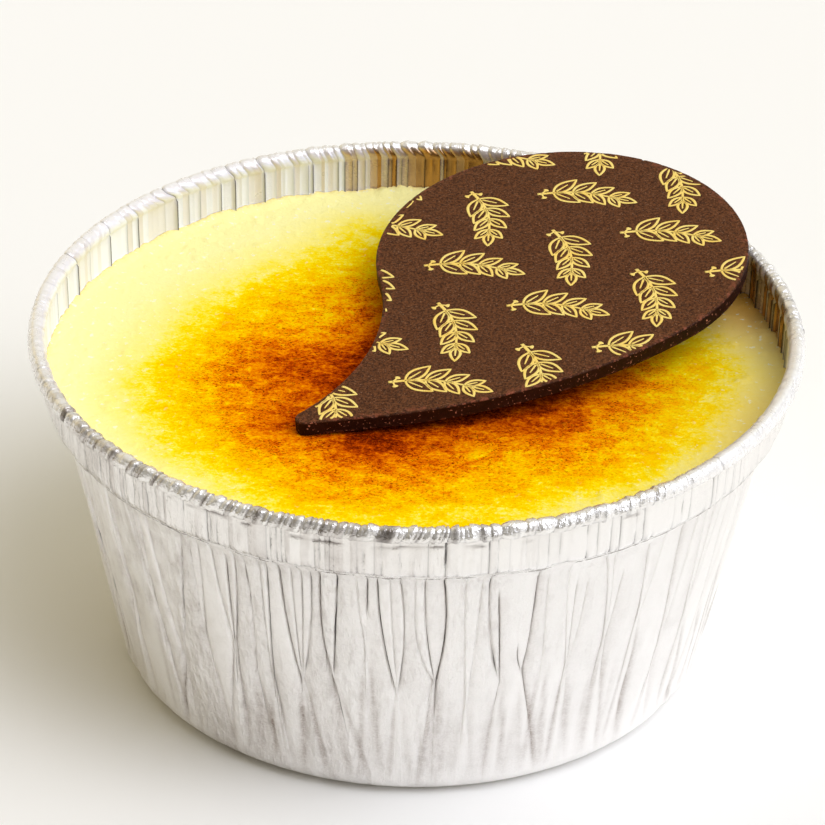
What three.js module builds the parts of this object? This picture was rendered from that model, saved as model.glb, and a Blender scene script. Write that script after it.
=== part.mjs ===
// Creme brulee: baked custard in a pleated foil cup, with a comma-shaped chocolate plaque that
// leans from the custard up onto the rolled rim. Three separate pieces that only rest on each
// other. Millimetres, +Z up, origin at the middle of the cup's base. The front is -Y.

import * as THREE from 'three';

// ---- Driving dimensions: the foil cup ---------------------------------------------------
const RIM_RADIUS = 42.5;          // outside of the rolled bead
const BEAD_RADIUS = 1.05;         // the bead is foil rolled into a small tube
const BEAD_HEIGHT = 39.15;        // middle of the bead above the table
const COLLAR_TOP_RADIUS = 41.2;   // plain band under the bead
const COLLAR_FOOT_RADIUS = 41.0;
const COLLAR_FOOT_HEIGHT = 33.0;
const WALL_TOP_RADIUS = 39.0;     // the wall steps in under the collar
const WALL_TOP_HEIGHT = 32.0;
const BASE_RADIUS = 33.2;
const BASE_FILLET = 3.3;
const RING_INNER_RADIUS = 24.0;   // the cup stands on a flat ring round a raised panel
const PANEL_RISE = 0.8;
const PANEL_SLOPE_WIDTH = 1.2;
const COLLAR_THICKNESS = 0.4;
const FLOOR_THICKNESS = 0.5;
const PLEAT_ROOM = 1.3;           // from the outside of the pleats to the smooth inner face

// ---- Driving dimensions: the pleats of the wall -----------------------------------------
// Each pleat is a Y: two creases come down from the collar, meet in a knot, and fan out below.
// The front's knots are set one by one, as [degrees to the right of the front, height].
const FRONT_KNOTS = [
  [-44.5, 12.0], [-37.5, 18.0], [-31.0, 18.5], [-25.0, 15.0], [-18.8, 15.8], [-13.2, 17.3],
  [-7.4, 22.0], [-2.2, 15.7], [4.3, 17.3], [9.6, 14.0], [15.2, 16.5], [20.0, 17.3],
  [27.4, 19.0], [34.6, 20.0], [41.0, 22.0],
];
const KNOT_SPACING = 7.3;         // degrees, round the rest of the wall
const KNOT_SCATTER = 0.55;        // share of the spacing
const KNOT_HEIGHT = 17.0;
const KNOT_HEIGHT_SCATTER = 7.0;
const KNOT_DEPTH = 0.75;          // how far the knot is pinched in
const CREASE_DEPTH = 0.45;        // how far the two upper creases are
const FAN_DEPTH = 0.3;            // how far the hollow below the knot is
const KNOT_PINCH = 0.35;          // how near the creases come at the knot, as a share
const COLLAR_CREASE = 0.12;       // slight crimps of the collar
const BEAD_CRIMP = 0.14;          // crumples of the bead

// ---- Driving dimensions: the custard -----------------------------------------------------
const CUSTARD_TOP = 34.4;
const CUSTARD_GAP = 0.3;          // clear of the foil
const CUSTARD_SWELL = 0.12;       // height of the low waves of its skin
const CUSTARD_COLUMNS = 96;

// ---- Driving dimensions: the plaque ------------------------------------------------------
// The outline is a comma: a round end, a hollow side, a full side and a small round tip. It is
// drawn with the middle of the round end at (0, 0) and the tip along +X.
const PLAQUE_RADIUS = 20.9;
const HOLLOW_RADIUS = 27.2;
const HOLLOW_START = -35.7;       // degrees round the round end, where the hollow side leaves it
const FULL_RADIUS = 61.5;
const FULL_START = 83.8;          // degrees round the round end, where the full side leaves it
const TIP_RADIUS = 1.15;
const TIP_PLACE = 86.0;           // degrees round the hollow side's centre
const PLAQUE_THICKNESS = 1.5;
const PLAQUE_EDGE = 0.2;          // softened edge
const PLAQUE_CENTRE = [16.2, 15.8];
const PLAQUE_TURN = -133.3;       // the tip points to the front left
const PLAQUE_GAP = 0.28;          // clear of the custard and the rim
const RIM_CONTACT_BACK = 15.2;    // the rim touches it this far behind the round end's middle

const DEGREE = Math.PI / 180;

// ---- Helpers ------------------------------------------------------------------------------

// A number from -0.5 to 0.5 that depends only on its index and its stream.
function scatter(index, stream) {
  const wave = Math.sin(index * 12.9898 + stream * 78.233) * 43758.5453;
  return wave - Math.floor(wave) - 0.5;
}

// Points of an arc in the profile plane, as [radius, height], both ends included.
function profileArc(radius, height, size, fromDegrees, toDegrees, steps) {
  const points = [];
  for (let step = 0; step <= steps; step += 1) {
    const angle = (fromDegrees + (toDegrees - fromDegrees) * step / steps) * DEGREE;
    points.push([radius + size * Math.cos(angle), height + size * Math.sin(angle)]);
  }
  return points;
}

function mix(from, to, share) {
  return from + (to - from) * share;
}

// A turned body about +Z. place(column, row) gives each vertex its [angle, radius, height].
function turned(profile, columns, place) {
  const outline = profile.map(([radius, height]) => new THREE.Vector2(radius, height));
  const geometry = new THREE.LatheGeometry(outline, columns);
  geometry.rotateX(Math.PI / 2);
  const position = geometry.getAttribute('position');
  for (let column = 0; column <= columns; column += 1) {
    for (let row = 0; row < profile.length; row += 1) {
      const [angle, radius, height] = place(column % columns, row);
      const x = radius * Math.sin(angle);
      const y = -radius * Math.cos(angle);
      position.setXYZ(column * profile.length + row, x, y, height);
    }
  }
  geometry.computeVertexNormals();
  return geometry;
}

function part(name, geometry, color, roughness, metalness) {
  const material = new THREE.MeshStandardMaterial({ color, roughness, metalness });
  const mesh = new THREE.Mesh(geometry, material);
  mesh.name = name;
  return mesh;
}

// ---- Foil cup -----------------------------------------------------------------------------

const WALL_TAPER = Math.atan2(WALL_TOP_RADIUS - BASE_RADIUS, WALL_TOP_HEIGHT - BASE_FILLET);

function wallRadius(height) {
  return BASE_RADIUS + (height - BASE_FILLET) * Math.tan(WALL_TAPER);
}

// The knots of all pleats in order round the cup, as { angle, height } with the angle in degrees.
function pleatKnots() {
  const knots = FRONT_KNOTS.map(([angle, height]) => ({ angle, height }));
  const first = knots[0].angle + 360;
  const last = knots[knots.length - 1].angle;
  const count = Math.round((first - last) / KNOT_SPACING) - 1;
  for (let index = 1; index <= count; index += 1) {
    const place = index + KNOT_SCATTER * scatter(index, 1);
    const angle = last + (first - last) * place / (count + 1);
    const height = KNOT_HEIGHT + KNOT_HEIGHT_SCATTER * scatter(index, 2);
    knots.push({ angle, height });
  }
  return knots;
}

// The cup's section, from the middle of its underside, up the outside, over the bead and down
// inside. Each row says which stretch it belongs to.
function cupRows() {
  const rows = [];
  const add = (stretch, points) => points.forEach(([radius, height]) => {
    rows.push({ stretch, radius, height });
  });
  const beadMiddle = RIM_RADIUS - BEAD_RADIUS;
  const inside = wallRadius(WALL_TOP_HEIGHT) - PLEAT_ROOM;
  const wallHeights = [6.5, 10.5, 14, 17.5, 21.5, 26, 30, WALL_TOP_HEIGHT];
  add('base', [[0, PANEL_RISE], [RING_INNER_RADIUS - PANEL_SLOPE_WIDTH, PANEL_RISE]]);
  add('base', [[RING_INNER_RADIUS, 0], [BASE_RADIUS - BASE_FILLET, 0]]);
  add('base', profileArc(BASE_RADIUS - BASE_FILLET, BASE_FILLET, BASE_FILLET, -50, -10, 1));
  add('wall', wallHeights.map((height) => [wallRadius(height), height]));
  add('collar', [[COLLAR_FOOT_RADIUS, COLLAR_FOOT_HEIGHT]]);
  add('collar', [[COLLAR_TOP_RADIUS, BEAD_HEIGHT - BEAD_RADIUS]]);
  add('bead', profileArc(beadMiddle, BEAD_HEIGHT, BEAD_RADIUS, -40, 220, 6));
  add('collar', [[COLLAR_TOP_RADIUS - COLLAR_THICKNESS, BEAD_HEIGHT - BEAD_RADIUS]]);
  add('collar', [[COLLAR_FOOT_RADIUS - COLLAR_THICKNESS, COLLAR_FOOT_HEIGHT + COLLAR_THICKNESS]]);
  add('inside', [[inside, WALL_TOP_HEIGHT]]);
  add('inside', [[wallRadius(BASE_FILLET) - PLEAT_ROOM, BASE_FILLET]]);
  add('inside', [[BASE_RADIUS - BASE_FILLET, FLOOR_THICKNESS + PANEL_RISE]]);
  add('inside', [[0, FLOOR_THICKNESS + PANEL_RISE]]);
  return rows;
}

// Three columns of the mesh belong to each pleat: its left crease, its middle and its right
// crease. side is -1, 0 or 1. The creases lean towards the middle down to the knot, and away
// from it again below.
function creaseAngle(knots, pleat, side, height) {
  const knot = knots[pleat];
  const ahead = (pleat + knots.length + side) % knots.length;
  const turns = pleat + side < 0 || pleat + side >= knots.length ? 360 * side : 0;
  const third = (knots[ahead].angle + turns - knot.angle) / 3;
  const above = THREE.MathUtils.smoothstep(height, knot.height, WALL_TOP_HEIGHT);
  const below = 1 - THREE.MathUtils.smoothstep(height, BASE_FILLET, knot.height);
  return knot.angle + third * mix(KNOT_PINCH, 1, Math.max(above, below));
}

// How far the wall is pressed in at one column and height.
function pleatDepth(knot, side, height) {
  const foot = THREE.MathUtils.smoothstep(height, BASE_FILLET, knot.height);
  if (height < knot.height) {
    return side === 0 ? mix(FAN_DEPTH, KNOT_DEPTH, foot) * Math.min(1, foot * 4) : 0.2 * foot;
  }
  const rise = (height - knot.height) / (WALL_TOP_HEIGHT - knot.height);
  return side === 0 ? KNOT_DEPTH * (1 - rise) ** 2 : mix(0.2, CREASE_DEPTH, Math.min(1, 2 * rise));
}

function foilCup() {
  const knots = pleatKnots();
  const rows = cupRows();
  const place = (column, row) => {
    const pleat = Math.floor(column / 3);
    const side = column % 3 - 1;
    const knot = knots[pleat];
    const { stretch, radius, height } = rows[row];
    const level = stretch === 'wall' ? height : WALL_TOP_HEIGHT;
    const angle = creaseAngle(knots, pleat, side, level) * DEGREE;
    if (stretch === 'wall') {
      return [angle, radius - pleatDepth(knot, side, height), height];
    }
    if (stretch === 'collar') {
      return [angle, radius - COLLAR_CREASE * (1 + 2 * scatter(column, 3)) / 2, height];
    }
    if (stretch === 'bead') {
      const crimp = BEAD_CRIMP * (scatter(column, 4) - 0.5) * (height > BEAD_HEIGHT ? 1 : 0.6);
      return [angle, radius + crimp * (radius > RIM_RADIUS - BEAD_RADIUS ? 1 : -1), height];
    }
    return [angle, radius, height];
  };
  const profile = rows.map(({ radius, height }) => [radius, height]);
  return part('foil_cup', turned(profile, 3 * knots.length, place), 0xd9d8d4, 0.3, 1);
}

// ---- Custard --------------------------------------------------------------------------------

// Low waves of the baked skin, as a height above its level.
function custardWave(x, y) {
  const long = Math.sin(x * 0.17 + 0.6) * Math.cos(y * 0.21 - 0.4);
  const short = Math.sin(x * 0.38 + y * 0.29 + 1.1);
  return CUSTARD_SWELL * (0.6 * long + 0.4 * short);
}

function custard() {
  const underside = FLOOR_THICKNESS + PANEL_RISE + CUSTARD_GAP;
  const shoulder = wallRadius(WALL_TOP_HEIGHT) - PLEAT_ROOM - CUSTARD_GAP;
  const brim = COLLAR_FOOT_RADIUS - COLLAR_THICKNESS - COLLAR_CREASE - CUSTARD_GAP;
  const profile = [
    [0, underside],
    [BASE_RADIUS - BASE_FILLET - CUSTARD_GAP, underside],
    [wallRadius(BASE_FILLET) - PLEAT_ROOM - CUSTARD_GAP, BASE_FILLET],
    [shoulder, WALL_TOP_HEIGHT],
    [brim, COLLAR_FOOT_HEIGHT + COLLAR_THICKNESS + CUSTARD_GAP],
    [brim, CUSTARD_TOP],
  ];
  const topStart = profile.length - 1;
  const rings = [0.93, 0.8, 0.66, 0.5, 0.33, 0.16, 0];
  rings.forEach((share) => profile.push([brim * share, CUSTARD_TOP]));
  const place = (column, row) => {
    const [radius, height] = profile[row];
    const angle = column / CUSTARD_COLUMNS * 2 * Math.PI;
    const x = radius * Math.sin(angle);
    const y = -radius * Math.cos(angle);
    return [angle, radius, row < topStart ? height : height + custardWave(x, y)];
  };
  return part('custard', turned(profile, CUSTARD_COLUMNS, place), 0xf2c53a, 0.35, 0);
}

// ---- Chocolate plaque -------------------------------------------------------------------------

// The comma's outline, anticlockwise: round the tip, along the full side, round the round end
// and back along the hollow side.
function commaShape() {
  const hollow = HOLLOW_START * DEGREE;
  const full = FULL_START * DEGREE;
  const tipPlace = TIP_PLACE * DEGREE;
  const hollowX = (PLAQUE_RADIUS + HOLLOW_RADIUS) * Math.cos(hollow);
  const hollowY = (PLAQUE_RADIUS + HOLLOW_RADIUS) * Math.sin(hollow);
  const fullX = (PLAQUE_RADIUS - FULL_RADIUS) * Math.cos(full);
  const fullY = (PLAQUE_RADIUS - FULL_RADIUS) * Math.sin(full);
  const tipX = hollowX + (HOLLOW_RADIUS + TIP_RADIUS) * Math.cos(tipPlace);
  const tipY = hollowY + (HOLLOW_RADIUS + TIP_RADIUS) * Math.sin(tipPlace);
  // The straight stretch touches the full side's circle and the tip's on the same side.
  const reach = Math.hypot(tipX - fullX, tipY - fullY);
  const lean = Math.atan2(tipY - fullY, tipX - fullX);
  const straight = lean + Math.acos((FULL_RADIUS - TIP_RADIUS) / reach);

  const shape = new THREE.Shape();
  shape.absarc(tipX, tipY, TIP_RADIUS, tipPlace - Math.PI, straight, false);
  shape.absarc(fullX, fullY, FULL_RADIUS, straight, full, false);
  shape.absarc(0, 0, PLAQUE_RADIUS, full, 2 * Math.PI + hollow, false);
  shape.absarc(hollowX, hollowY, HOLLOW_RADIUS, Math.PI + hollow, tipPlace, true);
  return shape;
}

function chocolatePlaque() {
  const geometry = new THREE.ExtrudeGeometry(commaShape(), {
    depth: PLAQUE_THICKNESS - 2 * PLAQUE_EDGE,
    bevelEnabled: true,
    bevelThickness: PLAQUE_EDGE,
    bevelSize: PLAQUE_EDGE,
    bevelOffset: -PLAQUE_EDGE,
    bevelSegments: 1,
    curveSegments: 20,
  });
  geometry.translate(0, 0, PLAQUE_EDGE);
  return part('chocolate_plaque', geometry, 0x3c2820, 0.55, 0);
}

// The plaque leans: its tip is over the custard and the rim carries it behind its round end.
function leaningPlaque() {
  const rimTop = BEAD_HEIGHT + BEAD_RADIUS;
  const tipReach = PLAQUE_RADIUS * 2;
  const lean = Math.atan2(rimTop - CUSTARD_TOP, tipReach + RIM_CONTACT_BACK);
  const middle = rimTop - RIM_CONTACT_BACK * Math.tan(lean) + PLAQUE_GAP / Math.cos(lean);
  const plaque = chocolatePlaque();
  plaque.rotation.y = lean;
  const turn = new THREE.Group();
  turn.rotation.z = PLAQUE_TURN * DEGREE;
  turn.position.set(PLAQUE_CENTRE[0], PLAQUE_CENTRE[1], middle);
  turn.add(plaque);
  return turn;
}

const dessert = new THREE.Group();
dessert.add(foilCup(), custard(), leaningPlaque());

export default dessert;
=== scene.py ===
"""Creme brulee: scorched custard in a pleated foil cup, with a comma-shaped chocolate plaque
that leans from the custard up onto the rolled rim.

Shapes are worked out in millimetres and put into the meshes in metres. Angles round the cup are
degrees to the right of the front, which is -Y.
"""

import math
from collections import namedtuple

import bpy
import numpy as np
from mathutils import Matrix, Vector


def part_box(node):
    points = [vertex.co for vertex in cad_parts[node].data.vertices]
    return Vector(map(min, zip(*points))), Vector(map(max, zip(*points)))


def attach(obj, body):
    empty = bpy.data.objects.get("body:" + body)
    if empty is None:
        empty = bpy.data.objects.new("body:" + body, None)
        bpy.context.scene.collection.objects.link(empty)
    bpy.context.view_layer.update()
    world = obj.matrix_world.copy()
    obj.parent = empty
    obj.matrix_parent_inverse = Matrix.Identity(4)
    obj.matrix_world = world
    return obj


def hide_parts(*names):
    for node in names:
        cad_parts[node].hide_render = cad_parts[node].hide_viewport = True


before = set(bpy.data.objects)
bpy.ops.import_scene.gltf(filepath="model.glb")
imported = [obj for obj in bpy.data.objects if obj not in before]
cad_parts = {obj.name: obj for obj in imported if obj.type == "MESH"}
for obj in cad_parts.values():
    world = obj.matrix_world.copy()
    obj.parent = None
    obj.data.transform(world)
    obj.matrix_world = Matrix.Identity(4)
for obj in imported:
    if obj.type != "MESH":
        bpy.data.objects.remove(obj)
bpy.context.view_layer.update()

MM = 0.001
TURN = 360.0
FOIL_MIRROR = 0.78                # share of the light that foil mirrors rather than scatters

# ---- Driving dimensions, from the frame -------------------------------------------------------
CUP_LOW, CUP_HIGH = (np.array(corner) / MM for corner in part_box("foil_cup"))
RIM_RADIUS = float(min(-CUP_LOW[0], -CUP_LOW[1], CUP_HIGH[0], CUP_HIGH[1]))
RIM_TOP = float(CUP_HIGH[2])

# ---- Driving dimensions of the foil cup, as in the solids -------------------------------------
BEAD_RADIUS = 1.05
COLLAR_TOP_RADIUS = 41.2
COLLAR_FOOT_RADIUS = 41.0
COLLAR_FOOT_HEIGHT = 33.0
COLLAR_THICKNESS = 0.4
FOOT_ROUNDING = 1.15
WALL_TOP_RADIUS = 39.0
WALL_TOP_HEIGHT = 32.0
BASE_RADIUS = 33.2
BASE_FILLET = 3.3
RING_INNER_RADIUS = 24.0
PANEL_RISE = 0.8
PANEL_SLOPE_WIDTH = 1.2
FLOOR_HEIGHT = 1.3
WALL_ROOM = 1.3                   # from the outside of the pleats to the smooth inner face
WALL_SLOPE = (WALL_TOP_RADIUS - BASE_RADIUS) / (WALL_TOP_HEIGHT - BASE_FILLET)

# The small shoulder between wall and collar, as (radius, height).
SHOULDER = np.array([[38.98, 31.4], [39.14, 31.8], [39.36, 32.15], [39.66, 32.5],
                     [40.0, 32.8], [40.3, 33.02], [40.6, 33.35], [40.5, 33.7]])

# The pleats of the front: knot angle, knot height, drift of the stem below it, and the creases
# that run into it, each as (angle at the top, depth, curve, bow, lowest, highest point).
FRONT_PLEATS = [
    (-44.5, 12.0, -1.2, [(-46.6, 0.34, 1.5, 0.0, 6, 34), (-43.2, 0.30, 1.4, 0.0, 5, 16),
                         (-38.8, 0.26, 1.1, 0.0, 17, 34)]),
    (-37.5, 18.0, 0.6, [(-37.2, 0.30, 1.3, 0.0, 8, 34), (-35.4, 0.34, 1.6, 0.0, 8, 34)]),
    (-31.2, 18.5, -2.5, [(-32.9, 0.46, 1.6, 0.0, 6, 34), (-30.3, 0.74, 1.4, 0.0, 13, 31),
                         (-28.6, 0.38, 1.8, 0.0, 8, 34)]),
    (-27.6, 15.0, 0.5, [(-26.9, 0.30, 1.5, 0.5, 8, 34)]),
    (-24.6, 15.0, 0.5, [(-24.2, 0.24, 1.5, 0.0, 8, 34), (-23.0, 0.28, 1.5, 0.0, 8, 34)]),
    (-18.8, 15.8, 1.2, [(-20.9, 0.66, 2.0, 0.0, 15, 34), (-18.9, 0.26, 1.3, 0.0, 17, 34),
                        (-17.2, 0.32, 1.6, 0.0, 17, 34), (-15.7, 0.26, 2.0, 0.0, 17, 34)]),
    (-13.3, 17.3, 4.6, [(-14.2, 0.70, 3.0, -0.45, 9, 34), (-11.5, 0.42, 1.05, 0.0, 18, 34)]),
    (-7.4, 22.0, 0.5, [(-8.6, 0.18, 1.5, 0.0, 14, 34), (-6.8, 0.32, 1.2, 0.0, 27, 34)]),
    (-2.2, 15.7, 0.6, [(-5.3, 0.36, 2.0, 0.0, 16, 34), (-3.4, 0.16, 1.5, 0.0, 19, 34),
                       (-1.8, 0.28, 1.5, 0.8, 16, 34)]),
    (4.2, 17.3, -0.6, [(0.5, 0.18, 4.0, 0.0, 14, 34), (2.0, 0.28, 2.2, 0.0, 18, 34),
                       (4.9, 0.58, 2.0, 0.75, 12, 34)]),
    (9.6, 14.0, 0.5, [(8.2, 0.14, 1.5, 0.0, 8, 34), (10.8, 0.16, 1.5, 0.0, 8, 34)]),
    (15.3, 16.5, 0.4, [(12.0, 0.32, 2.0, 0.0, 18, 34), (13.3, 0.48, 1.2, 0.2, 14, 29)]),
    (18.9, 17.7, 4.2, [(17.4, 0.32, 6.0, 0.0, 18, 21), (19.7, 0.54, 5.0, 0.0, 10, 32)]),
    (22.6, 20.0, 0.5, [(21.4, 0.16, 1.5, 0.0, 14, 31)]),
    (27.4, 17.0, 1.4, [(24.8, 0.12, 1.5, 0.0, 8, 34), (26.5, 0.24, 1.5, 0.0, 8, 29),
                       (28.4, 0.20, 1.5, 0.4, 8, 29)]),
    (34.6, 19.0, 1.6, [(31.2, 0.18, 0.8, 0.0, 12, 34), (32.8, 0.14, 1.0, 0.0, 12, 34),
                       (35.4, 0.50, 1.5, 0.0, 12, 28)]),
    (41.4, 21.0, 0.0, [(39.6, 0.38, 1.1, 0.0, 10, 31), (43.0, 0.16, 1.5, 0.0, 10, 34)]),
]
KNOT_SPACING = 7.3                # degrees, round the rest of the wall
KNOT_SCATTER = 0.55
KNOT_HEIGHT = 17.0
KNOT_HEIGHT_SCATTER = 7.0
KNOT_DENT = 0.22                  # depth, half width in degrees and half height of a knot
KNOT_WIDTH = 1.2
KNOT_TALL = 4.5
KNOT_DROP = 1.5                   # how far the dent's middle is below the knot

# The creases. A share is a share of the crease's own depth.
CREASE_DEPTHS = [0.14, 0.3, 0.45, 0.62]
CREASE_REACH = (1.2, 2.7)         # degrees from a knot to its outer creases at the top
MIDDLE_CREASE = (-0.6, 0.6)       # and to the one between them
CREASE_CURVE = (1.1, 2.0)
CREASE_BOW = (-0.5, 0.5)
CREASE_LOWEST = (2.0, 12.0)
CREASE_HIGHEST = (27.0, 38.0)
STEM_DRIFT = (-1.6, 1.6)
CREASE_PINCH = 0.07               # how near the creases come at the knot, as a share
CREASE_FAN = 0.85                 # how far they spread again at the foot
CREASE_GAP = 0.10                 # least gap between two creases, degrees
CREASE_END = 1.2                  # half the height over which a crease begins or ends
CREASE_HALF_WIDTH = 0.12
CREASE_SHOULDER = 0.30            # how far the foil rounds down beside a crease
CREASE_ROUNDING = 0.46            # and how deep, as a share
CREASE_LIP = 0.168                # how proud the raised side of a crease stands, as a share
LIP_WIDTH = 0.45
CREASE_LINE = 0.050               # half width of the painted shade line at a crease's bottom
PALE_CREASE = 0.16                # creases shallower than this have no painted shade line
CREASE_SHADE = 0.42               # how dark the painted shade beside a crease is, as a share
CREASE_SHADE_WIDTH = 0.75
LIP_LIGHT = 0.38                  # and how much less painted shade on the raised side
STEM_LENGTH = 5.0                 # the creases die out over this length below the knot
STRIP_TILT = 0.08                 # greatest sideways rise across a strip between creases

# The folds that fan out below a knot, as seen on the way from the knot (0) to the foot (1).
LEG_SPREAD = (0.4, 2.1)           # degrees from the stem at the knot, and more at the foot
LEG_WIDTH = (0.30, 0.55)          # half width at the knot, and more at the foot
LEG_START = (0.04, 0.35)
LEG_END = (0.72, 1.0)
LEG_DEPTH = 0.13
# How dark the painted shade in these folds is.
LEG_SHADE = 0.46

# Soft flutes, dents and crumples of the wall. A noise is (cells round the cup, height of a
# cell, seed), a dent is (noise, depth), and a crumple is (noise, depth, painted shade, degrees
# that it slants in a millimetre).
LOW_WALL = (7.0, 21.0)            # heights over which the lower wall passes into the upper
BROAD_FLUTES = (84, 12.0, 5)
NARROW_FLUTES = (152, 8.0, 6)
FLUTE_DEPTH = 0.05
LOW_FLUTE_DEPTH = 0.17            # and so much more on the lower wall
DENTS = [((300, 1.6, 7), 0.018), ((120, 5.0, 8), 0.04)]
CRUMPLES = [((330, 2.6, 9), 0.085, 0.26, 0.0), ((540, 1.3, 10), 0.05, 0.22, 0.2)]
CRUMPLED_SIDE = ((-84.0, -66.0), (-46.0, -30.0))
CRUMPLED_RISE = (10.0, 18.0)

# Columns of the mesh: distances from a crease, greatest spacing, and shares of a narrow strip.
WALL_NEAR = np.array([0.0, 0.05, 0.12, 0.30])
WALL_COLUMN = 0.42
RIM_NEAR = np.array([0.0, 0.09])
RIM_COLUMN = 0.30
NARROW_STRIP = np.array([0.0, 0.12, 0.3, 0.5, 0.7, 0.88])

# Hollows between the ridges low on the front: (angle, half width in degrees, depth, middle
# height, half height, drift in degrees from the bottom to the top).
LOW_HOLLOWS = [
    (-44.8, 0.7, 0.25, 9.0, 4.0, 0.0), (-36.5, 1.0, 0.20, 8.0, 6.0, 1.0),
    (-27.5, 1.5, 0.30, 8.0, 5.0, 0.5), (-24.0, 0.8, 0.16, 9.0, 5.0, 0.0),
    (-19.0, 1.1, 0.28, 8.0, 5.0, -0.6), (-14.6, 0.8, 0.20, 7.0, 5.0, -1.0),
    (-7.0, 1.0, 0.22, 9.0, 6.0, 0.4), (-4.2, 0.7, 0.16, 7.0, 4.0, 0.6),
    (1.7, 0.5, 0.18, 7.0, 5.0, 0.0), (4.0, 1.0, 0.26, 8.0, 5.0, 0.3),
    (7.0, 0.6, 0.24, 8.0, 4.5, 0.0), (13.4, 1.3, 0.28, 8.0, 5.0, 0.8),
    (18.5, 0.6, 0.20, 7.0, 5.0, 0.0), (23.0, 1.0, 0.26, 7.0, 4.0, -1.0),
    (29.0, 0.9, 0.18, 8.0, 5.0, 0.0), (33.0, 0.8, 0.22, 9.0, 5.0, 0.4),
    (38.0, 0.8, 0.22, 9.0, 6.0, 0.4), (43.0, 0.8, 0.18, 9.0, 6.0, 0.0),
]

# Creases of the rim as (angle, depth): those outside on the collar, and those on its inner
# side. On the other side of the foil each of them is plain.
OUTER_CREASES = [
    (-53.5, 0.16), (-47.0, 0.12), (-42.5, 0.16), (-40.5, 0.13), (-39.8, 0.12), (-34.6, 0.10),
    (-31.2, 0.22), (-27.5, 0.14), (-24.4, 0.10), (-21.5, 0.18), (-20.9, 0.14), (-19.2, 0.16),
    (-18.6, 0.12), (-14.2, 0.13), (-13.5, 0.12), (-12.0, 0.18), (-11.4, 0.14), (-8.0, 0.14),
    (-7.1, 0.11), (-5.5, 0.15), (-1.8, 0.09), (0.2, 0.09), (2.2, 0.18), (4.7, 0.24), (11.0, 0.23),
    (12.3, 0.10), (14.0, 0.13), (17.0, 0.08), (19.8, 0.13), (21.6, 0.12), (27.6, 0.12),
    (31.4, 0.15), (35.6, 0.20), (43.0, 0.12), (49.7, 0.22),
]
INNER_CREASES = [
    (95.8, 0.25), (97.9, 0.30), (102.0, 0.25), (105.3, 0.30), (107.5, 0.22), (109.7, 0.30),
    (112.7, 0.25), (115.1, 0.30), (175.5, 0.22), (176.6, 0.18), (179.1, 0.30), (181.9, 0.20),
    (182.9, 0.20), (183.8, 0.26), (185.2, 0.24), (189.0, 0.16), (190.3, 0.22), (192.4, 0.24),
    (193.5, 0.20), (197.8, 0.30), (201.1, 0.14), (204.2, 0.10), (206.3, 0.36), (209.2, 0.10),
    (211.7, 0.38), (214.3, 0.22), (218.4, 0.18), (220.6, 0.14), (223.3, 0.42), (225.7, 0.10),
    (231.9, 0.26), (234.6, 0.16), (239.2, 0.30), (245.2, 0.12), (249.8, 0.34), (254.0, 0.20),
    (259.0, 0.16),
]
PLAIN_CREASE = 0.1

# The strips that the rim is gathered into between these creases, and the borders between them.
RIM_STRIP = (0.35, 1.25)          # least and greatest width
OUTER_DEPTHS = [0.0, 0.0, 0.04, 0.07, 0.12]
INNER_DEPTHS = [0.0, 0.04, 0.10, 0.24]
BEAD_DEPTHS = [0.02, 0.05, 0.12]
RIM_HALF_WIDTH = 0.20             # of a crease or border
RIM_CREASE_LINE = 0.11            # and of its painted shade line
STRIP_BASE = (0.06, 0.04, 0.10)   # greatest depth of a strip on the bead, collar and inner side
BEAD_TILT = 0.36                  # greatest sideways slope of a strip
COLLAR_TILT = 0.08
INNER_TILT = 0.34

# The rolled bead. A noise is (cells round the rim, height of a cell, seed).
BEAD_SIZE = 0.99                  # from its middle to the flats of its outer side
BEAD_FLATTENING = 3.0             # 2 is a round section, more is squarer
BEAD_LEAN = 24.0                  # degrees that its flat outer side faces upwards
BEAD_FACETS = 6                   # flats round the section
BEAD_FACET_DEPTH = 0.05
BEAD_PITCH = 0.16                 # how far a strip's outer side may lean up or down
BEAD_CRUMPLES = (420, 1.0, 33)
BEAD_CRUMPLE_DEPTH = 0.045
BEAD_SLANT = 1.3                  # degrees that the strips lean over the bead
SLANT_CHANGE = (40, 1.0, 31)
BEAD_RELIEF = 0.46                # deepest that anything is pressed into the bead
BEAD_MATT = 0.30                  # how far the top of the bead is matt rather than mirror

# Round the bead's section, in degrees up from its outer side: its ends, where its flats start
# and end, and the stretches over which relief, slant and the dull places begin and end.
BEAD_ENDS = (-103.0, 226.0)
BEAD_FLATS = (-110.0, 235.0)
RELIEF_TURN = ((-103.0, -80.0), (190.0, 225.0))
SLANT_TURN = ((-60.0, 90.0), (120.0, 226.0))
FACING_TURN = ((-60.0, -20.0), (45.0, 75.0))

# The collar, with short folds just under the bead and notches at its foot.
COLLAR_RELIEF = 0.24              # deepest that anything is pressed into the collar
COLLAR_DENTS = (260, 1.5, 35)
COLLAR_DENT_DEPTH = 0.02
COLLAR_CLOUDS = (130, 2.0, 42)
COLLAR_SCALLOP = 0.12             # how far the collar's foot goes up and down
FOOT_ZONE = (0.3, 2.2)            # how high over the foot that and its edge's waves reach
FOOT_WAVE = (96, 1.0, 38)
FOOT_SWELL = (96, 1.0, 37)
FOOT_SWELL_DEPTH = 0.10           # how far it is drawn in
LEDGE_HEIGHT = 37.45
LEDGE_HALF_HEIGHT = 0.16
LEDGE_DEPTH = 0.10
LEDGE_RISE = (60, 1.0, 39)
LEDGE_PLACES = (190, 1.0, 40)
NOTCH_DEPTH = 0.08
NOTCH_HALF_HEIGHT = 0.45

# ---- Painted shade, whiteness and wrinkles of the foil, by degrees to the right of the front ---
SHADED_SIDE = (26.0, -24.0)         # painted shade grows from the first angle to the second
SHADED_BACK = (-170.0, -110.0)
HOLLOW_SHADE = 0.85               # how dark the painted shade in the low hollows is for their depth
INNER_WHITE_SPREAD = 1.15         # how unlike the strips are where they are gathered
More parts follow.
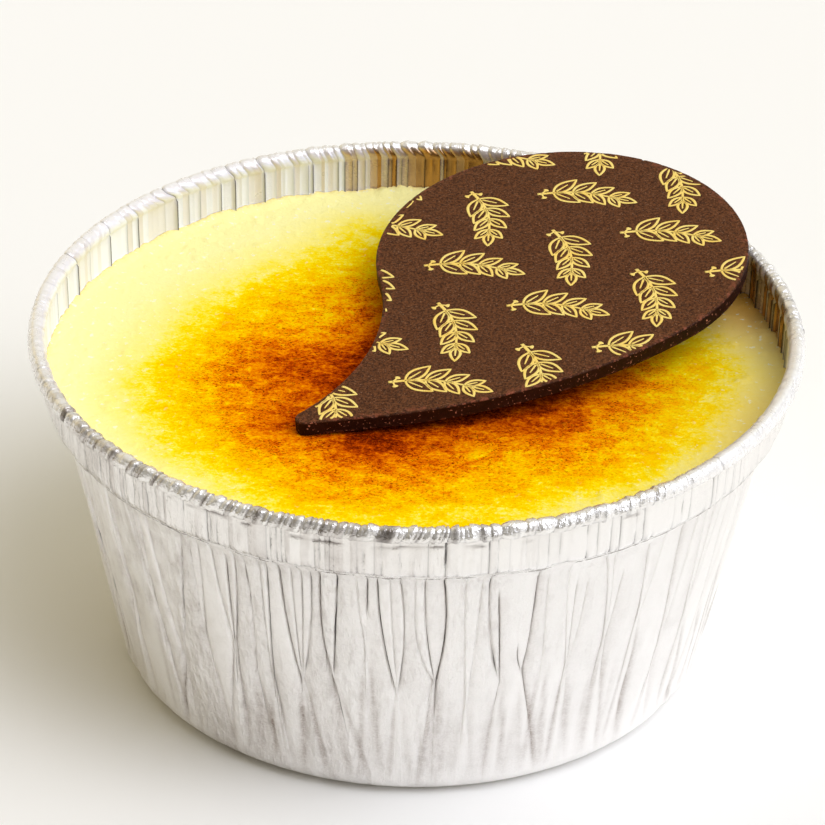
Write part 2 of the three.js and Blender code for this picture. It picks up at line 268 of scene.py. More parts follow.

# How strongly the wall and the rim are wrinkled finely, in bumps and in painted shade.
WALL_WRINKLES = [(-180.0, 0.6), (-90.0, 0.6), (-57.0, 0.7), (-31.0, 1.0), (-5.0, 0.9), (8.0, 0.8),
                 (21.0, 0.4), (34.0, 0.25), (60.0, 0.12), (110.0, 0.4), (180.0, 0.6)]
RIM_WRINKLES = [(-180.0, 0.8), (-70.0, 1.0), (8.0, 1.0), (21.0, 0.55), (34.0, 0.35),
                (60.0, 0.25), (180.0, 0.8)]

# How strongly the rim is gathered into strips, and how white and matt its inner side is.
RIM_GATHER = [(-180.0, 0.8), (-165.0, 0.7), (-150.0, 0.3), (-90.0, 0.35), (-74.0, 0.7),
              (-56.0, 1.0), (34.0, 1.0), (52.0, 0.35), (84.0, 0.35), (94.0, 1.0), (180.0, 0.8)]
# Where INNER_WHITE is low the inner side is brown: a painted reflection of custard and plaque.
INNER_WHITE = [(-180.0, 0.16), (-174.0, 0.20), (-167.0, 0.84), (-150.0, 0.94), (-120.0, 0.97),
               (-90.0, 1.0), (86.0, 1.0), (96.0, 0.25), (118.0, 0.08), (150.0, 0.05), (180.0, 0.16)]

# Painted dark reflections on the bead, each (angle, half width in degrees, darkness).
BEAD_SHADES = [
    (-61.6, 0.5, 0.8), (-56.0, 0.4, 0.7), (-52.6, 0.3, 0.8), (-48.9, 0.4, 0.7),
    (-45.1, 0.3, 0.7), (-42.7, 0.3, 0.6), (-40.0, 0.3, 0.7), (-31.3, 0.3, 0.6),
    (-27.0, 0.3, 0.4), (-22.7, 0.5, 0.6), (-19.2, 0.4, 0.4), (-17.3, 0.5, 0.5),
    (-15.0, 0.5, 0.5), (-13.0, 0.5, 0.7), (-8.6, 0.3, 0.6), (-4.3, 1.2, 0.9),
    (0.2, 0.3, 0.6), (2.6, 0.3, 0.4), (3.8, 0.2, 0.6), (5.6, 0.5, 0.75), (9.7, 0.6, 0.75),
    (14.5, 0.2, 0.5),
]

# ---- Driving dimensions of the custard --------------------------------------------------------
CUSTARD_TOP = 34.4
CUSTARD_SWELL = 0.072
CUSTARD_SUNK = 0.05               # room for the skin's relief under the level of the solid
CUSTARD_FLOOR = 1.2
CUSTARD_LUMPS = (2.6, 0.035, 0.05)  # size, height, and how much higher towards the edge
CUSTARD_GRAIN = (0.9, 0.020, 0.03)
FOAM_HEIGHT = 0.42
MENISCUS = 0.28
BURN_CENTRE = (2.5, -3.4)         # middle of the scorched patch

# Where the torch lingered or passed by: (x, y, radius, how many millimetres nearer the middle).
# Some spots beside the plaque and right wall, such as (22, -2) and (34.5, 2), are painted shade.
SCORCH_SPOTS = [
    (-15.0, -14.0, 4.5, 5.0), (-5.0, -16.0, 3.6, 6.8), (-18.0, -1.5, 6.0, 3.8),
    (-10.5, 9.0, 5.0, -4.0), (-7.0, 33.0, 7.0, 5.0), (22.0, -2.0, 4.5, 4.0),
    (-31.0, -8.0, 9.0, 2.4), (8.0, -17.5, 6.5, -5.0), (17.0, -27.0, 9.0, -3.0),
    (27.0, -20.0, 6.0, -1.5), (-12.0, -26.5, 5.0, 1.8), (-4.0, -25.5, 4.0, 0.8),
    (34.5, 2.0, 6.5, 2.0), (-26.0, -18.0, 4.0, 1.5), (12.0, -11.0, 4.0, 2.5),
    (20.5, -20.0, 5.0, 1.8), (1.0, -28.5, 5.0, -1.4), (-8.0, 6.5, 4.5, -1.6),
]

# Painted shade that tints the pale custard tan by the right wall and the plaque: (x, y, radius,
# strength).
PAINTED_SHADE_SPOTS = [(38.0, 17.0, 10.0, 0.9), (40.0, -12.0, 13.0, 0.25)]

# ---- Driving dimensions of the plaque, as in the solids ---------------------------------------
PLAQUE_RADIUS = 20.9
HOLLOW_RADIUS = 27.2
HOLLOW_START = -35.7
FULL_RADIUS = 61.5
FULL_START = 83.8
TIP_RADIUS = 1.15
TIP_PLACE = 86.0
PLAQUE_CENTRE = (16.2, 15.8)
PLAQUE_TURN = -133.3
PLAQUE_THICKNESS = 1.5
PLAQUE_GAP = 0.28                 # room that the solids leave under the plaque
RIM_CONTACT_BACK = 15.2
PLAQUE_MIDDLE = (8.0, 0.0)        # every edge point is seen straight from here
PLAQUE_EDGE = 0.22                # how far the edges are rounded
PLAQUE_FACE = PLAQUE_THICKNESS - 0.045  # the top face, with room for its grain and the print
CHIP_SIZE = 0.42
CHIP_DEPTH = 0.34
GOLD_LIFT = 0.03                  # thickness of the print

# ---- Driving dimensions of the gold print -----------------------------------------------------
BRANCH_LENGTH = 9.0               # the stem, without the leaf at its end
BRANCH_BOW = 0.8
LEAF_PAIRS = 4
LEAF_LENGTH = (3.7, 2.4)          # of the first and the last pair
LEAF_LEAN = 40.0                  # degrees between a leaf and the stem
BERRY_STALK = 1.1
BRANCH_STEP = 12.6                # from branch to branch along a row
BRANCH_ROW = 9.4                  # from row to row
BRANCH_LEAN = 34.0                # rows lean to alternate sides of the plaque's width
GOLD_LINE = 0.36
GOLD_MARGIN = 0.35                # between the print and the plaque's edge
END_LEAF = 2.6
LEAF_WIDTH = 0.21                 # half width of a leaf for its length
BERRY_LEAN = 62.0
BERRY_WIDTHS = np.array([0.22] * 6 + [0.45, 0.7, 0.7, 0.4])
PRINT_REACH = 45.0                # a line that lies wholly farther out misses the plaque

# ---- Camera -----------------------------------------------------------------------------------
LENS = 196.4
SENSOR = 36.0
VIEW_DISTANCE = 497.0
VIEW_RISE = 31.4
VIEW_ROLL = 1.04
VIEW_TARGET = (-0.3, 0.0, 28.4)
FLOOR_REACH = 4000.0              # from the middle of the floor to its sides

# ---- Studio light: (degrees to the right of the front, rise, sharpness, strength) -------------
STUDIO_LOBES = [
    (180.0, 6.0, 9.0, (0.33, 0.30, 0.24)),        # pale wall low behind
    (-157.0, 35.0, 9.0, (0.36, 0.34, 0.29)),      # and higher, to the left
    (157.0, 35.0, 9.0, (0.30, 0.29, 0.24)),       # and to the right
    (-135.0, 6.0, 9.0, (0.74, 0.60, 0.34)),       # warm wall low at the back left
    (-112.0, 35.0, 9.0, (0.38, 0.31, 0.14)),      # warm fill from the left
    (0.0, 90.0, 9.0, (0.51, 0.50, 0.45)),         # ceiling
    (-5.0, 40.0, 9.0, (0.08, 0.075, 0.065)),      # pale wall in front
    (68.0, 35.0, 9.0, (1.16, 1.21, 1.28)),        # wide lamp on the right
    (80.0, 28.0, 40.0, (3.75, 3.90, 4.35)),       # its bright middle
    (98.0, 52.0, 40.0, (1.30, 1.34, 1.45)),       # and high behind it
    (140.0, 28.0, 40.0, (0.80, 0.82, 0.66)),      # and farther back
    (50.0, 50.0, 40.0, (4.90, 5.00, 5.75)),       # key, high on the right in front
    (50.0, 70.0, 40.0, (3.80, 3.88, 4.25)),       # and its upper half
]
STUDIO_GLOW = (0.13, 0.115, 0.08)


# ---- Numbers and noise ------------------------------------------------------------------------

def smoothstep(low, high, value):
    """Share of the way from low to high, 0 below and 1 above, with a soft start and end."""
    share = np.clip((value - low) / (high - low), 0.0, 1.0)
    return share * share * (3.0 - 2.0 * share)


def window(value, rise, fall):
    """1 between the two stretches rise and fall and 0 past them, with a soft start and end."""
    return smoothstep(*rise, value) * (1.0 - smoothstep(*fall, value))


def scatter(index, stream):
    """The part of sin(12.9898 index + 78.233 stream) * 43758.5453 after its point, less a half."""
    wave = math.sin(index * 12.9898 + stream * 78.233) * 43758.5453
    return wave - math.floor(wave) - 0.5


def lattice_noise(across, up, seed, cells, sharp=False):
    """Random values from -1 to 1 at whole numbers of across and up, blended in between.
    across repeats every `cells`. With sharp the blend is straight, which leaves flat facets."""
    rows = 64
    table = np.random.default_rng(seed).uniform(-1.0, 1.0, (rows, cells))
    across, up = np.broadcast_arrays(across, up)
    column, row = np.floor(across).astype(int), np.floor(up).astype(int)
    share_across, share_up = across - column, up - row
    if not sharp:
        share_across = share_across * share_across * (3.0 - 2.0 * share_across)
        share_up = share_up * share_up * (3.0 - 2.0 * share_up)
    left, right = column % cells, (column + 1) % cells
    low, high = row % rows, (row + 1) % rows
    bottom = table[low, left] * (1.0 - share_across) + table[low, right] * share_across
    top = table[high, left] * (1.0 - share_across) + table[high, right] * share_across
    return bottom * (1.0 - share_up) + top * share_up


def ring_noise(angle, up, kind, sharp=False):
    """Lattice noise round the cup. Its kind is (cells in a turn, height of a cell, seed)."""
    cells, tall, seed = kind
    return lattice_noise(angle / TURN * cells, up / tall, seed, cells, sharp)


def plane_noise(x, y, size, seed):
    """Smooth noise on a plane: features of the given size, and others about half as large."""
    coarse, fine = (
        lattice_noise(x / size * fineness + 300.0, y / size * fineness + 20.0, seed + index, 997)
        for index, fineness in enumerate((1.0, 2.1)))
    return 0.67 * coarse + 0.33 * fine


def arc_points(centre, radius, first, last, count):
    """Points (radius, height) of an arc between two angles in degrees."""
    angle = np.radians(np.linspace(first, last, count))
    return np.stack([centre[0] + radius * np.cos(angle), centre[1] + radius * np.sin(angle)], 1)


def signed(angle):
    """The same angle round the cup, from -180 to 180 degrees."""
    return (np.asarray(angle) + 180.0) % TURN - 180.0


def by_angle(table, angle):
    """Value at an angle round the cup, in straight lines between the table's (angle, value)."""
    return np.interp(signed(angle), *np.array(table).T)


def around(angle, radius, height):
    """Points at an angle round the cup, a distance from its axis and a height."""
    turn = np.radians(angle)
    height = np.broadcast_to(height, turn.shape)
    return np.stack([radius * np.sin(turn), -radius * np.cos(turn), height], -1)


# ---- Meshes -----------------------------------------------------------------------------------

def make_piece(name, points, faces, material, marks=None):
    """A mesh piece from points in millimetres and a list of face arrays, each (count, corners)."""
    mesh = bpy.data.meshes.new(name)
    mesh.vertices.add(len(points))
    mesh.vertices.foreach_set("co", (points * MM).astype(np.float32).ravel())
    corners = np.concatenate([part.ravel() for part in faces]).astype(np.int32)
    sizes = np.concatenate([np.full(len(part), part.shape[1]) for part in faces])
    mesh.loops.add(len(corners))
    mesh.loops.foreach_set("vertex_index", corners)
    mesh.polygons.add(len(sizes))
    mesh.polygons.foreach_set("loop_start", (np.cumsum(sizes) - sizes).astype(np.int32))
    mesh.polygons.foreach_set("use_smooth", np.ones(len(sizes), bool))
    for mark, values in (marks or {}).items():
        attribute = mesh.attributes.new(mark, "FLOAT", "POINT")
        attribute.data.foreach_set("value", values.astype(np.float32).ravel())
    mesh.update(calc_edges=True)
    mesh.validate()
    mesh.materials.append(material)
    piece = bpy.data.objects.new(name, mesh)
    bpy.context.scene.collection.objects.link(piece)
    return piece


def grid_faces(rows, columns, rows_close=False):
    """Quads between the rows of a grid whose columns go round and close."""
    index = np.arange(rows * columns).reshape(rows, columns)
    after = np.roll(index, -1, axis=1)
    if not rows_close:
        lower, lower_after, upper, upper_after = index[:-1], after[:-1], index[1:], after[1:]
    else:
        lower, lower_after = index, after
        upper, upper_after = np.roll(index, -1, axis=0), np.roll(after, -1, axis=0)
    return np.stack([lower, lower_after, upper_after, upper], -1).reshape(-1, 4)


def closed_shell(grid):
    """Points and faces of a shell: rings from a pole at the bottom, round the outside, to a pole
    at the top. The poles are the middles of the first and last rings."""
    rows, columns = grid.shape[:2]
    poles = np.stack([grid[0].mean(axis=0), grid[-1].mean(axis=0)])
    points = np.concatenate([grid.reshape(-1, 3), poles])
    first = np.arange(columns)
    last = first + (rows - 1) * columns
    bottom = np.stack([np.full(columns, rows * columns), np.roll(first, -1), first], 1)
    top = np.stack([last, np.roll(last, -1), np.full(columns, rows * columns + 1)], 1)
    return points, [grid_faces(rows, columns), bottom, top]


# ---- Foil: creases and columns ----------------------------------------------------------------

Strips = namedtuple("Strips", "count angle left right between from_left from_right")


def all_pleats(random):
    """The front's pleats and those of the rest of the wall, whose knots follow the solids' rule
    and whose creases are drawn at random."""
    pleats = [tuple(pleat) for pleat in FRONT_PLEATS]
    first, last = FRONT_PLEATS[0][0] + TURN, FRONT_PLEATS[-1][0]
    count = round((first - last) / KNOT_SPACING) - 1
    for index in range(1, count + 1):
        place = index + KNOT_SCATTER * scatter(index, 1)
        angle = last + (first - last) * place / (count + 1)
        height = KNOT_HEIGHT + KNOT_HEIGHT_SCATTER * scatter(index, 2)
        starts = [-random.uniform(*CREASE_REACH), random.uniform(*CREASE_REACH)]
        if random.random() < 0.5:
            starts.insert(1, random.uniform(*MIDDLE_CREASE))
        creases = [(angle + start, random.choice(CREASE_DEPTHS),
                    random.uniform(*CREASE_CURVE), random.uniform(*CREASE_BOW),
                    random.uniform(*CREASE_LOWEST), random.uniform(*CREASE_HIGHEST))
                   for start in starts]
        pleats.append((angle, height, random.uniform(*STEM_DRIFT), creases))
    return pleats


def crease_paths(pleats, heights, random):
    """Angle, depth and painted-shade darkness of every crease at every height of the wall.

    Above its knot a crease is at knot + reach * (pinch + (1 - pinch) * (1 - (1 - t) ** curve))
    + bow * sin(pi t), with t going from 0 at the knot to 1 at the top of the wall. Below the
    knot it follows the drifting stem and fans out in proportion to its reach."""
    angles, depths, darks = [], [], []
    for knot, knot_height, drift, creases in pleats:
        rise = np.clip((heights - knot_height) / (WALL_TOP_HEIGHT - knot_height), 0.0, 1.0)
        fall = np.clip((knot_height - heights) / (knot_height - BASE_FILLET), 0.0, 1.0)
        below = np.maximum(knot_height - heights, 0.0)
        for top, depth, curve, bow, lowest, highest in creases:
            share = CREASE_PINCH + (1.0 - CREASE_PINCH) * (1.0 - (1.0 - rise) ** curve)
            share = np.where(heights < knot_height, CREASE_PINCH + CREASE_FAN * fall, share)
            angles.append(knot + (top - knot) * share + bow * np.sin(np.pi * rise) + drift * fall)
            fade = np.exp(-below / STEM_LENGTH) * window(
                heights, (lowest - CREASE_END, lowest + CREASE_END),
                (highest - CREASE_END, highest + CREASE_END))
            middle = 1.0 - random.uniform(0.1, 0.45) * np.sin(np.pi * rise) ** 2
            depths.append(depth * fade * (0.45 + 0.55 * middle))
            darks.append(np.clip((depth - PALE_CREASE) * 3.0, 0.0, 1.3) * fade * middle)
    order = np.argsort([path[-1] for path in angles])
    angles, depths, darks = (np.array(values)[order] for values in (angles, depths, darks))
    steps = CREASE_GAP * np.arange(len(angles))[:, None]
    angles = np.maximum.accumulate(angles - steps, axis=0) + steps
    return angles, depths, darks


def strip_columns(places, unit, near, spacing):
    """Columns of a mesh between neighbouring creases.

    places are the creases' angles in order, unit is millimetres for a degree, near are the
    distances from a crease that get a column of their own. Returns how many strips there are
    and for every column its angle, the indexes of the creases on its left and right, its share
    of the way from one to the other, and its distance in millimetres from both."""
    columns = []
    widths = np.diff(np.append(places, places[0] + TURN)) * unit
    for index, width in enumerate(widths):
        if width > 2.4 * near[-1]:
            steps = max(1, math.ceil((width - 2.0 * near[-1]) / spacing))
            middle = np.linspace(near[-1], width - near[-1], steps + 1)
            local = np.concatenate([near[:-1], middle, width - near[-2:0:-1]])
        else:
            local = NARROW_STRIP * width
        columns.append(np.stack([np.full(len(local), index), local / width,
                                 local, width - local], 1))
    index, between, from_left, from_right = np.concatenate(columns).T
    left = index.astype(int)
    count = len(places)
    return Strips(count, places[left] + from_left / unit, left, (left + 1) % count, between,
                  from_left, from_right)


def crease_profile(distance, half_width):
    """1 on a crease, falling straight to 0 at its half width."""
    return np.clip(1.0 - distance / half_width, 0.0, 1.0)


def per_strip(strips, random, low, high):
    """A random value between low and high for every strip, given to all of its columns."""
    return random.uniform(low, high, strips.count)[strips.left]


def shaded_side(angle):
    """Painted shade of the foil at an angle: 1 at the front left, 0 on the right and at the back.
    """
    return smoothstep(*SHADED_SIDE, signed(angle)) * smoothstep(*SHADED_BACK, signed(angle))


# ---- Foil: the wall ---------------------------------------------------------------------------

def wall_section():
    """Rows of the wall's section as (radius, height, share of the pleats), from the middle of
    the underside, out over the ring and up the wall to the shoulder, and back down inside.
    Returns too how many rows come before the fillet and how many the fillet and wall have."""
    slope = np.linspace(0.0, 1.0, 5)[:, None]
    inner, outer = RING_INNER_RADIUS - PANEL_SLOPE_WIDTH, RING_INNER_RADIUS
    panel = np.array([[10.0, PANEL_RISE], [20.0, PANEL_RISE]])
    step = np.hstack([inner + (outer - inner) * slope,
                      PANEL_RISE * (1.0 - smoothstep(0, 1, slope))])
    ring = np.array([[27.0, 0.0]])
    lean = math.degrees(math.atan(WALL_SLOPE))
    fillet = arc_points((BASE_RADIUS - BASE_FILLET, BASE_FILLET), BASE_FILLET, -90.0, -lean, 8)
    heights = np.linspace(fillet[-1][1] + 0.6, WALL_TOP_HEIGHT - 0.9, 41)
    wall = np.stack([BASE_RADIUS + (heights - BASE_FILLET) * WALL_SLOPE, heights], 1)
    inside = np.array([[38.4, 32.9], [WALL_TOP_RADIUS - WALL_ROOM - 0.2, 31.0],
                       [BASE_RADIUS - WALL_ROOM, 4.0], [28.5, FLOOR_HEIGHT],
                       [14.0, FLOOR_HEIGHT]])
    stretches = [(panel, 0.0), (step, 0.0), (ring, 0.0),
                 (fillet, smoothstep(0.3, 3.0, fillet[:, 1])), (wall, 1.0),
                 (SHOULDER, np.linspace(0.85, 0.05, len(SHOULDER))), (inside, 0.0)]
    rows = [np.column_stack([points, np.broadcast_to(share, len(points))])
            for points, share in stretches]
    return np.concatenate(rows), len(panel) + len(step) + len(ring), len(fillet) + len(wall)


def press_creases(depths, strips, random):
    """Relief and painted shade of the creases: a sharp groove, the foil rounding down beside it,
    and on one side a lip. The relief of a side is depth * (groove + rounding - lip)."""
    lips = random.choice([-1.0, 1.0], strips.count)
    relief, hollow = 0.0, 0.0
    for crease, distance, side in ((strips.left, strips.from_left, 1.0),
                                   (strips.right, strips.from_right, -1.0)):
        depth = depths[crease].T
        raised = np.clip(lips[crease] * side, 0.0, 1.0)
        groove = crease_profile(distance, CREASE_HALF_WIDTH)
        rounding = CREASE_ROUNDING * np.exp(-distance / CREASE_SHOULDER)
        lip = CREASE_LIP * raised * np.exp(-(distance / LIP_WIDTH - 0.8) ** 2)
        relief = relief + depth * (groove + rounding - lip)
        shade = CREASE_SHADE - LIP_LIGHT * raised
        hollow = hollow + shade * depth * np.exp(-distance / CREASE_SHADE_WIDTH)
    return relief, hollow


def press_knots(pleats, angle, level, random):
    """Relief and painted shade of the knots, each a dent a little under its middle, and of the
    two folds that fan out below each of them."""
    relief, hollow = 0.0, 0.0
    for knot, knot_height, drift, _ in pleats:
        down = np.clip((knot_height - level) / knot_height, 0.0, 1.0)
        away = signed(angle - knot - drift * down)
        above = level - knot_height + KNOT_DROP
        relief = relief + KNOT_DENT * np.exp(-(away / KNOT_WIDTH) ** 2 - (above / KNOT_TALL) ** 2)
        fall = np.clip((knot_height - level) / (knot_height - 1.0), 0.0, 1.0)
        for side in (-1.0, 1.0):
            spread = LEG_SPREAD[0] + random.uniform(0.6, 1.0) * LEG_SPREAD[1] * fall
            width = LEG_WIDTH[0] + random.uniform(0.6, 1.0) * LEG_WIDTH[1] * fall
            leg = np.exp(-((side * away - spread) / width) ** 2)
            leg = leg * window(fall, LEG_START, LEG_END)
            relief = relief + LEG_DEPTH * leg
            hollow = hollow + random.uniform(0.3, 1.0) * LEG_SHADE * leg
    return relief, hollow


def press_hollows(angle, level):
    """Sum of depth * exp(-(across / half width) ** 2 - (up / half height) ** 2) over the
    hollows low on the front."""
    relief = np.zeros_like(angle)
    for place, width, depth, middle, tall, lean in LOW_HOLLOWS:
        off = (signed(angle) - place - lean * (level - middle) / 10.0) / width
        relief += depth * np.exp(-off ** 2 - ((level - middle) / tall) ** 2)
    return relief


def make_wall(material):
    """The pleated wall and base. Every column of the mesh keeps its place between two creases,
    so the creases run along the columns:
    angle = (1 - share) * left crease's angle + share * right crease's angle.
    The radius is pressed in by the creases, by the knots, by hollows and soft flutes that grow
    towards the foot, by crumples at the front left and by fine dents."""
    random = np.random.default_rng(17)
    section, before, count = wall_section()
    radius, height, share = (section[:, column][:, None] for column in range(3))
    levels = np.clip(height[:, 0], BASE_FILLET * 0.5, WALL_TOP_HEIGHT)
    levels[:before] = BASE_FILLET * 0.5
    levels[before + count:] = WALL_TOP_HEIGHT
    pleats = all_pleats(random)
    angles, depths, darks = crease_paths(pleats, levels, random)
    unit = math.radians(WALL_TOP_RADIUS)
    strips = strip_columns(angles[:, -1], unit, WALL_NEAR, WALL_COLUMN)
    wrap = np.where(strips.right < strips.left, TURN, 0.0)
    angle = (angles[strips.left].T * (1.0 - strips.between)
             + (angles[strips.right].T + wrap) * strips.between)
    level = height + 0.0 * angle

    # hollow is painted shade beside creases, in folds, low hollows, flutes and crumples.
    relief, hollow = press_creases(depths, strips, random)
    relief = relief + per_strip(strips, random, -STRIP_TILT, STRIP_TILT) * (strips.between - 0.5)
    knots, legs = press_knots(pleats, angle, level, random)
    dents = press_hollows(angle, level)
    relief = relief + knots + dents
    hollow = hollow + legs + HOLLOW_SHADE * dents

    low = 1.0 - smoothstep(*LOW_WALL, level)
    side_shade = shaded_side(angle)
    broad = ring_noise(strips.angle, level, BROAD_FLUTES)
    narrow = ring_noise(strips.angle, level, NARROW_FLUTES)
    relief += (FLUTE_DEPTH + LOW_FLUTE_DEPTH * low) * (broad + narrow)
    flute_shade = 0.02 + 0.04 * low + 0.12 * low * side_shade
    hollow += flute_shade * (np.maximum(broad, 0.0) + np.maximum(narrow, 0.0))
    hollow += side_shade * (0.01 + 0.05 * low)
    for kind, depth in DENTS:
        relief += depth * ring_noise(angle, level, kind)
    crumpled = 0.20 + window(signed(angle), *CRUMPLED_SIDE)
    crumpled = crumpled * smoothstep(*CRUMPLED_RISE, level)
    for kind, depth, shade, slant in CRUMPLES:
        crumple = ring_noise(angle + slant * level, level, kind, sharp=True)
        relief += depth * crumple * crumpled
        hollow += shade * np.maximum(crumple, 0.0) * crumpled
    grid = around(angle, radius - share * np.clip(relief + 0.06, -0.02, 1.05), height)
    points, faces = closed_shell(grid)

    # The painted shade lines at the bottoms of the creases, broken along their length.
    broken = lattice_noise(3.7 * np.arange(strips.count)[:, None], levels / 3.2, 11, 400)
    darks = darks * np.clip(1.25 + 2.2 * broken, 0.15, 3.2)
    line = (darks[strips.left].T * crease_profile(strips.from_left, CREASE_LINE)
            + darks[strips.right].T * crease_profile(strips.from_right, CREASE_LINE))
    line = line * (1.0 - smoothstep(31.2, 32.2, height))
    wrinkled = by_angle(WALL_WRINKLES, angle) * (0.55 + 0.45 * broad)
    wrinkled = wrinkled * (1.0 - 0.5 * low * (1.0 - side_shade))
    marks = {"crease": line, "hollow": np.clip(hollow, 0.0, 1.0), "wrinkle": wrinkled}
    marks = {name: np.append(values.ravel(), [0.0, 0.0]) for name, values in marks.items()}
    return make_piece("foil_wall", points, faces, material, marks)


# ---- Foil: the collar and the rolled bead -----------------------------------------------------

def rim_creases(random):
    """Borders between the narrow strips that the rolled foil is gathered into: the named
    creases, and between them others at random. Each is (angle, depth of the crease outside,
    depth inside, depth over the bead)."""
    unit = math.radians(COLLAR_TOP_RADIUS)
    named = [(angle % TURN, depth, PLAIN_CREASE) for angle, depth in OUTER_CREASES]
    named = sorted(named + [(angle, PLAIN_CREASE, depth) for angle, depth in INNER_CREASES])
    creases = []
    for crease, after in zip(named, named[1:] + [(named[0][0] + TURN, 0.0, 0.0)]):
        creases.append((*crease, max(0.10, 0.6 * crease[1], 0.5 * crease[2])))
        place = crease[0] + random.uniform(*RIM_STRIP) / unit
        while place < after[0] - RIM_STRIP[0] / unit:
            gather = float(by_angle(RIM_GATHER, place))
            creases.append((place, random.choice(OUTER_DEPTHS),
                            random.choice(INNER_DEPTHS) * gather,
                            random.choice(BEAD_DEPTHS) * gather))
            place += random.uniform(*RIM_STRIP) / unit
    return np.array(creases)


def rim_section():
    """Rows of the rim's closed section, each (radius, height), with the rows' kinds: 0 for the
    outside of the collar, 1 for the bead and 2 for the inside. Returns too the bead's middle.
    The bead's outer side is a rounded square, reach = (cos ** n + sin ** n) ** (-1 / n)."""
    bead = (RIM_RADIUS - BEAD_RADIUS, RIM_TOP - BEAD_RADIUS)
    foot = (COLLAR_FOOT_RADIUS - FOOT_ROUNDING, COLLAR_FOOT_HEIGHT + FOOT_ROUNDING)
    inner_top = COLLAR_TOP_RADIUS - COLLAR_THICKNESS - 0.1
    inner_foot = COLLAR_FOOT_RADIUS - COLLAR_THICKNESS
    share = np.linspace(0.0, 1.0, 17)[:, None]
    start = np.array([[COLLAR_FOOT_RADIUS - 0.45, COLLAR_FOOT_HEIGHT + 0.1]])
    rounding = arc_points(foot, FOOT_ROUNDING, -120.0, -5.0, 5)
    collar_low = np.array([COLLAR_FOOT_RADIUS, foot[1] + 0.25])
    collar_high = np.array([COLLAR_TOP_RADIUS - 0.02, bead[1] - BEAD_RADIUS - 0.2])
    collar = collar_low + (collar_high - collar_low) * share
    turn = np.linspace(*BEAD_ENDS, 28)
    flat = np.radians(turn - BEAD_LEAN)
    squareness = np.abs(np.cos(flat)) ** BEAD_FLATTENING + np.abs(np.sin(flat)) ** BEAD_FLATTENING
    reach = BEAD_SIZE * np.where(turn < 135.0, squareness ** (-1.0 / BEAD_FLATTENING), 1.0)
    roll = np.stack([bead[0] + reach * np.cos(np.radians(turn)),
                     bead[1] + reach * np.sin(np.radians(turn))], 1)
    inside_high = np.array([inner_top, bead[1] - 0.95])
    inside_low = np.array([inner_foot, COLLAR_FOOT_HEIGHT + 1.1])
    inside = inside_high + (inside_low - inside_high) * share[::4]
    sunk = np.array([[inner_foot - 0.4, COLLAR_FOOT_HEIGHT + 0.8]])
    parts = [(start, 0), (rounding, 0), (collar, 0), (roll, 1), (inside, 2), (sunk, 2)]
    kind = np.concatenate([np.full(len(part), value) for part, value in parts])
    return np.concatenate([part for part, _ in parts]), kind, bead


def flat_strips(strips, random, base, slope):
    """Flat strips: a random base each, and a random sideways slope."""
    bases = per_strip(strips, random, 0.0, base)
    slopes = per_strip(strips, random, -slope, slope)
    return bases + slopes * (strips.from_left - strips.from_right) / 2.0


def rim_grooves(creases, strips, height, sides):
    """Depth and painted-shade darkness of the borders between strips on the three sides. Those
    outside are deep in some places and nearly gone in others."""
    groove, line = 0.0, 0.0
    outside, roll, inside = sides
    for is_side, index, most in ((outside, 1, 1.0), (roll, 3, 0.7), (inside, 2, 1.0)):
        depth = creases[:, index]
        dark = np.clip(depth * 5.0 - 0.3, 0.0, most)
        for crease, distance in ((strips.left, strips.from_left),
                                 (strips.right, strips.from_right)):
            part = 1.0
            if is_side is outside:
                part = 0.45 + 1.3 * lattice_noise(3.7 * crease, height / 1.7, 43, 997)
                part = np.clip(part, np.minimum(depth[crease] * 3.0, 0.6), 1.2)
            part = is_side * part
            groove = groove + part * depth[crease] * crease_profile(distance, RIM_HALF_WIDTH)
            line = line + part * dark[crease] * crease_profile(distance, RIM_CREASE_LINE)
    return groove, line


def bead_relief(strips, angle, turn, gather, random):
    """How deep the bead's surface lies where it is gathered: each strip is tilted sideways,
    leans up or down on its outer side, and has a few flats of its own round the section."""
    first, last = BEAD_FLATS
    around_bead = np.clip((turn - first) / (last - first), 0.0, 1.0) * BEAD_FACETS
    depths = random.uniform(0.0, BEAD_FACET_DEPTH, (BEAD_FACETS + 2, strips.count))
    low = np.clip(np.floor(around_bead).astype(int), 0, BEAD_FACETS)
    up = around_bead - low
    flats = depths[low, strips.left] * (1.0 - up) + depths[low + 1, strips.left] * up
    crumple = ring_noise(angle, around_bead * 1.5, BEAD_CRUMPLES, sharp=True)
    pitch = per_strip(strips, random, -1.0, 1.0) * np.clip((turn - BEAD_LEAN) / 60.0, -1.0, 1.0)
    relief = flat_strips(strips, random, STRIP_BASE[0], BEAD_TILT) + flats
    relief = relief + BEAD_CRUMPLE_DEPTH * crumple + BEAD_PITCH * (0.5 + 0.5 * pitch)
    return relief * gather + 0.08 * (1.0 - gather)


def roll_in(section, bead, relief):
    """Rows of the section moved towards the bead's middle, as radius and height."""
    spine = np.array(bead)
    away = section[:, None, :] - spine
    reach = np.linalg.norm(away, axis=-1, keepdims=True)
    rolled = spine + away * (1.0 - relief[..., None] / reach)
    return rolled[..., 0], rolled[..., 1]


